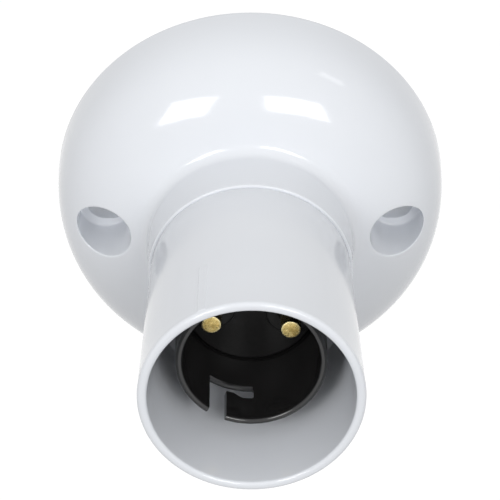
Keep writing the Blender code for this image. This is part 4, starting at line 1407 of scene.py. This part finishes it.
def post(name):
    """A brass rod, bored for its spring in front, for its screw behind, and for its wire."""
    hole = SCREW_SHANK + CLEAR
    wire_height = POST_FOOT + WIRE_HOLE_INSET
    hole_end = wire_height + WIRE_HOLE_RADIUS + CLEAR
    rim = (POST_RADIUS - CLEAR, POST_FOOT + CLEAR)
    section = [(0, SPRING_FOOT), (SPRING_BORE_RADIUS, SPRING_FOOT),
               (SPRING_BORE_RADIUS, POST_TOP - EDGE_BREAK),
               (SPRING_BORE_RADIUS + EDGE_BREAK, POST_TOP), (POST_RADIUS - EDGE_BREAK, POST_TOP),
               (POST_RADIUS, POST_TOP - EDGE_BREAK)] + arc(rim, CLEAR, 0, -pi / 2, 4)
    section += [(hole + EDGE_BREAK, POST_FOOT), (hole, POST_FOOT + EDGE_BREAK), (hole, hole_end),
                (0, hole_end + hole / 2)]
    turned = spun(name, section, PIN_SIDES)
    wire = rod("wire_hole", WIRE_HOLE_RADIUS, -POST_RADIUS - PAST, POST_RADIUS + PAST, BRASS_SIDES)
    settle(wire, Matrix.Translation((0, 0, wire_height)) @ Matrix.Rotation(pi / 2, 4, "X"))
    combine(turned, wire, "DIFFERENCE")
    reach = WIRE_HOLE_RADIUS + EDGE_BREAK
    return soften(turned, EDGE_BREAK, 2, lambda e: on_round(e, 0, POST_RADIUS)
                  and is_sharp(e, WIRE_HOLE_ANGLE)
                  and all(abs(v.co.z - wire_height) < reach for v in e.verts))


for side, word in SIDE_PIECES:
    finished(post("brass_post_" + word), POST_BRASS, "holder", "terminal_post_" + word,
             matrix=at_contact(side), smooth=SMOOTH_METAL)

# %% [markdown]
# ## Screws and loose terminals
#
# The screws are cheese heads with a single slot. One of each size is modelled upright on
# the lamp axis, and its copies are turned as a hand happened to leave them.

# %% One screw
SCREW_HEAD_HEIGHT = 0.0016
SCREW_SLOT_WIDTH = 0.0007
SCREW_SLOT_DEPTH = 0.0008
SCREW_PITCH = 0.0005
SCREW_THREAD_DEPTH = 0.00018
SCREW_THREAD_STEPS = 32
HEAD_ROUND = 0.0003


def screw(name, shank, head, length):
    """A slotted screw with the face of its head at height 0 and its tip above."""
    shoulder = SCREW_HEAD_HEIGHT
    section = [(0, 0)] + arc((head - HEAD_ROUND, HEAD_ROUND), HEAD_ROUND, -pi / 2, 0, 4)
    section += [(head, shoulder - EDGE_BREAK), (head - EDGE_BREAK, shoulder), (shank, shoulder),
                (shank, length - CLEAR), (shank - CLEAR, length), (0, length)]
    turned = spun(name, section, BRASS_SIDES)
    combine(turned, screw_thread(shank, shoulder, length), "DIFFERENCE")
    slot = block("slot", (-head - PAST, -SCREW_SLOT_WIDTH / 2, -PAST),
                 (head + PAST, SCREW_SLOT_WIDTH / 2, SCREW_SLOT_DEPTH))
    combine(turned, slot, "DIFFERENCE")
    return soften(turned, EDGE_BREAK / 2, 1, sharp_below(NEAR))


def screw_thread(shank, low, high):
    """The helical cut of a screw's thread, clear of its head."""
    wide = SCREW_PITCH * ROOT_SHARE
    foot = low + EDGE_BREAK
    outside = shank + PAST / 4
    section = [(outside, foot), (shank - SCREW_THREAD_DEPTH, foot + wide), (outside, foot + 2 * wide)]
    return swept("thread", section, SCREW_PITCH, int((high - low) / SCREW_PITCH), SCREW_THREAD_STEPS)


def copy_of(piece, name, matrix):
    """A copy with a mesh of its own, in its place."""
    only(piece)
    bpy.ops.object.duplicate()
    copy = bpy.context.object
    copy.name = copy.data.name = name
    return settle(copy, matrix)


def middle_foot(node):
    """The middle of the lower end of a part."""
    low, high = box_of(node)
    return Vector(((low[0] + high[0]) / 2, (low[1] + high[1]) / 2, low[2]))


def set_screws(shank, head, turns, finish):
    """Copies of one screw; the slot of each is turned from level by its own angle."""
    foot, top = foot_and_top(list(turns)[0])
    pattern = screw("screw", shank, head, top - foot)
    for node, turn in turns.items():
        where = Matrix.Translation(middle_foot(node)) @ Matrix.Rotation(turn, 4, "Z")
        finished(copy_of(pattern, node + "_turned", where), finish, "holder", node,
                 matrix=lamp_axis(), smooth=SMOOTH_METAL)
    bpy.data.objects.remove(pattern, do_unlink=True)


# %% All the screws
TERMINAL_SCREW_HEAD = 0.0023
BLOCK_SCREW_HEAD = 0.0026

set_screws(SCREW_SHANK, TERMINAL_SCREW_HEAD,
           {"terminal_screw_left": INNER_TURN + radians(-25),
            "terminal_screw_right": INNER_TURN + radians(25)}, POST_BRASS)
set_screws(SCREW_SHANK, TERMINAL_SCREW_HEAD,
           {"loop_screw_left": radians(55), "loop_screw_right": radians(55),
            "earth_screw": radians(-25)}, POST_BRASS)
set_screws(BLOCK_SCREW_SHANK, BLOCK_SCREW_HEAD,
           {"block_screw_upper": INNER_TURN + radians(60),
            "block_screw_lower": INNER_TURN + radians(60)}, STEEL)

# %% Loose terminals
TERMINAL_BEVEL = 0.0004
TERMINAL_HOLE_RADIUS = 0.0017
TERMINAL_ANGLE = radians(60)


def bar_terminal(node, screws):
    """A length of square brass bar, drilled through for the wire and tapped for its screws."""
    low, high = box_of(node)
    bar = soften(block(node + "_bar", low, high), TERMINAL_BEVEL, 3)
    height = low[2] + TERMINAL_HOLE_RISE
    middle = (low[1] + high[1]) / 2
    wire = rod("wire", TERMINAL_HOLE_RADIUS, low[0] - PAST, high[0] + PAST, BRASS_SIDES)
    settle(wire, Matrix.Translation((0, middle, height)) @ Matrix.Rotation(pi / 2, 4, "Y"))
    combine(bar, wire, "DIFFERENCE")
    taps = [rod("tap", SCREW_SHANK + CLEAR, low[2] - PAST, height, BRASS_SIDES,
                middle_foot(screw_node)[:2]) for screw_node in screws]
    combine(bar, joined(taps), "DIFFERENCE")
    soften(bar, EDGE_BREAK, 2, lambda e: is_sharp(e, TERMINAL_ANGLE) and (
        near(abs(middle_of(e).x), high[0]) or near(middle_of(e).z, low[2])))
    finished(bar, BAR_BRASS, "holder", node, matrix=lamp_axis(), smooth=SMOOTH_METAL)


bar_terminal("loop_terminal", ("loop_screw_left", "loop_screw_right"))
bar_terminal("earth_terminal", ("earth_screw",))

# %% [markdown]
# ## The size of the dressed holder
#
# The dressed holder has to stay inside the box of its working parts. Both boxes are
# printed.

# %% Sizes, and the end
dressed_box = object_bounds()
for name, box in (("frame", cad_box), ("dressed", dressed_box)):
    print(name, [[round(c * 1000, 2) for c in corner] for corner in box])
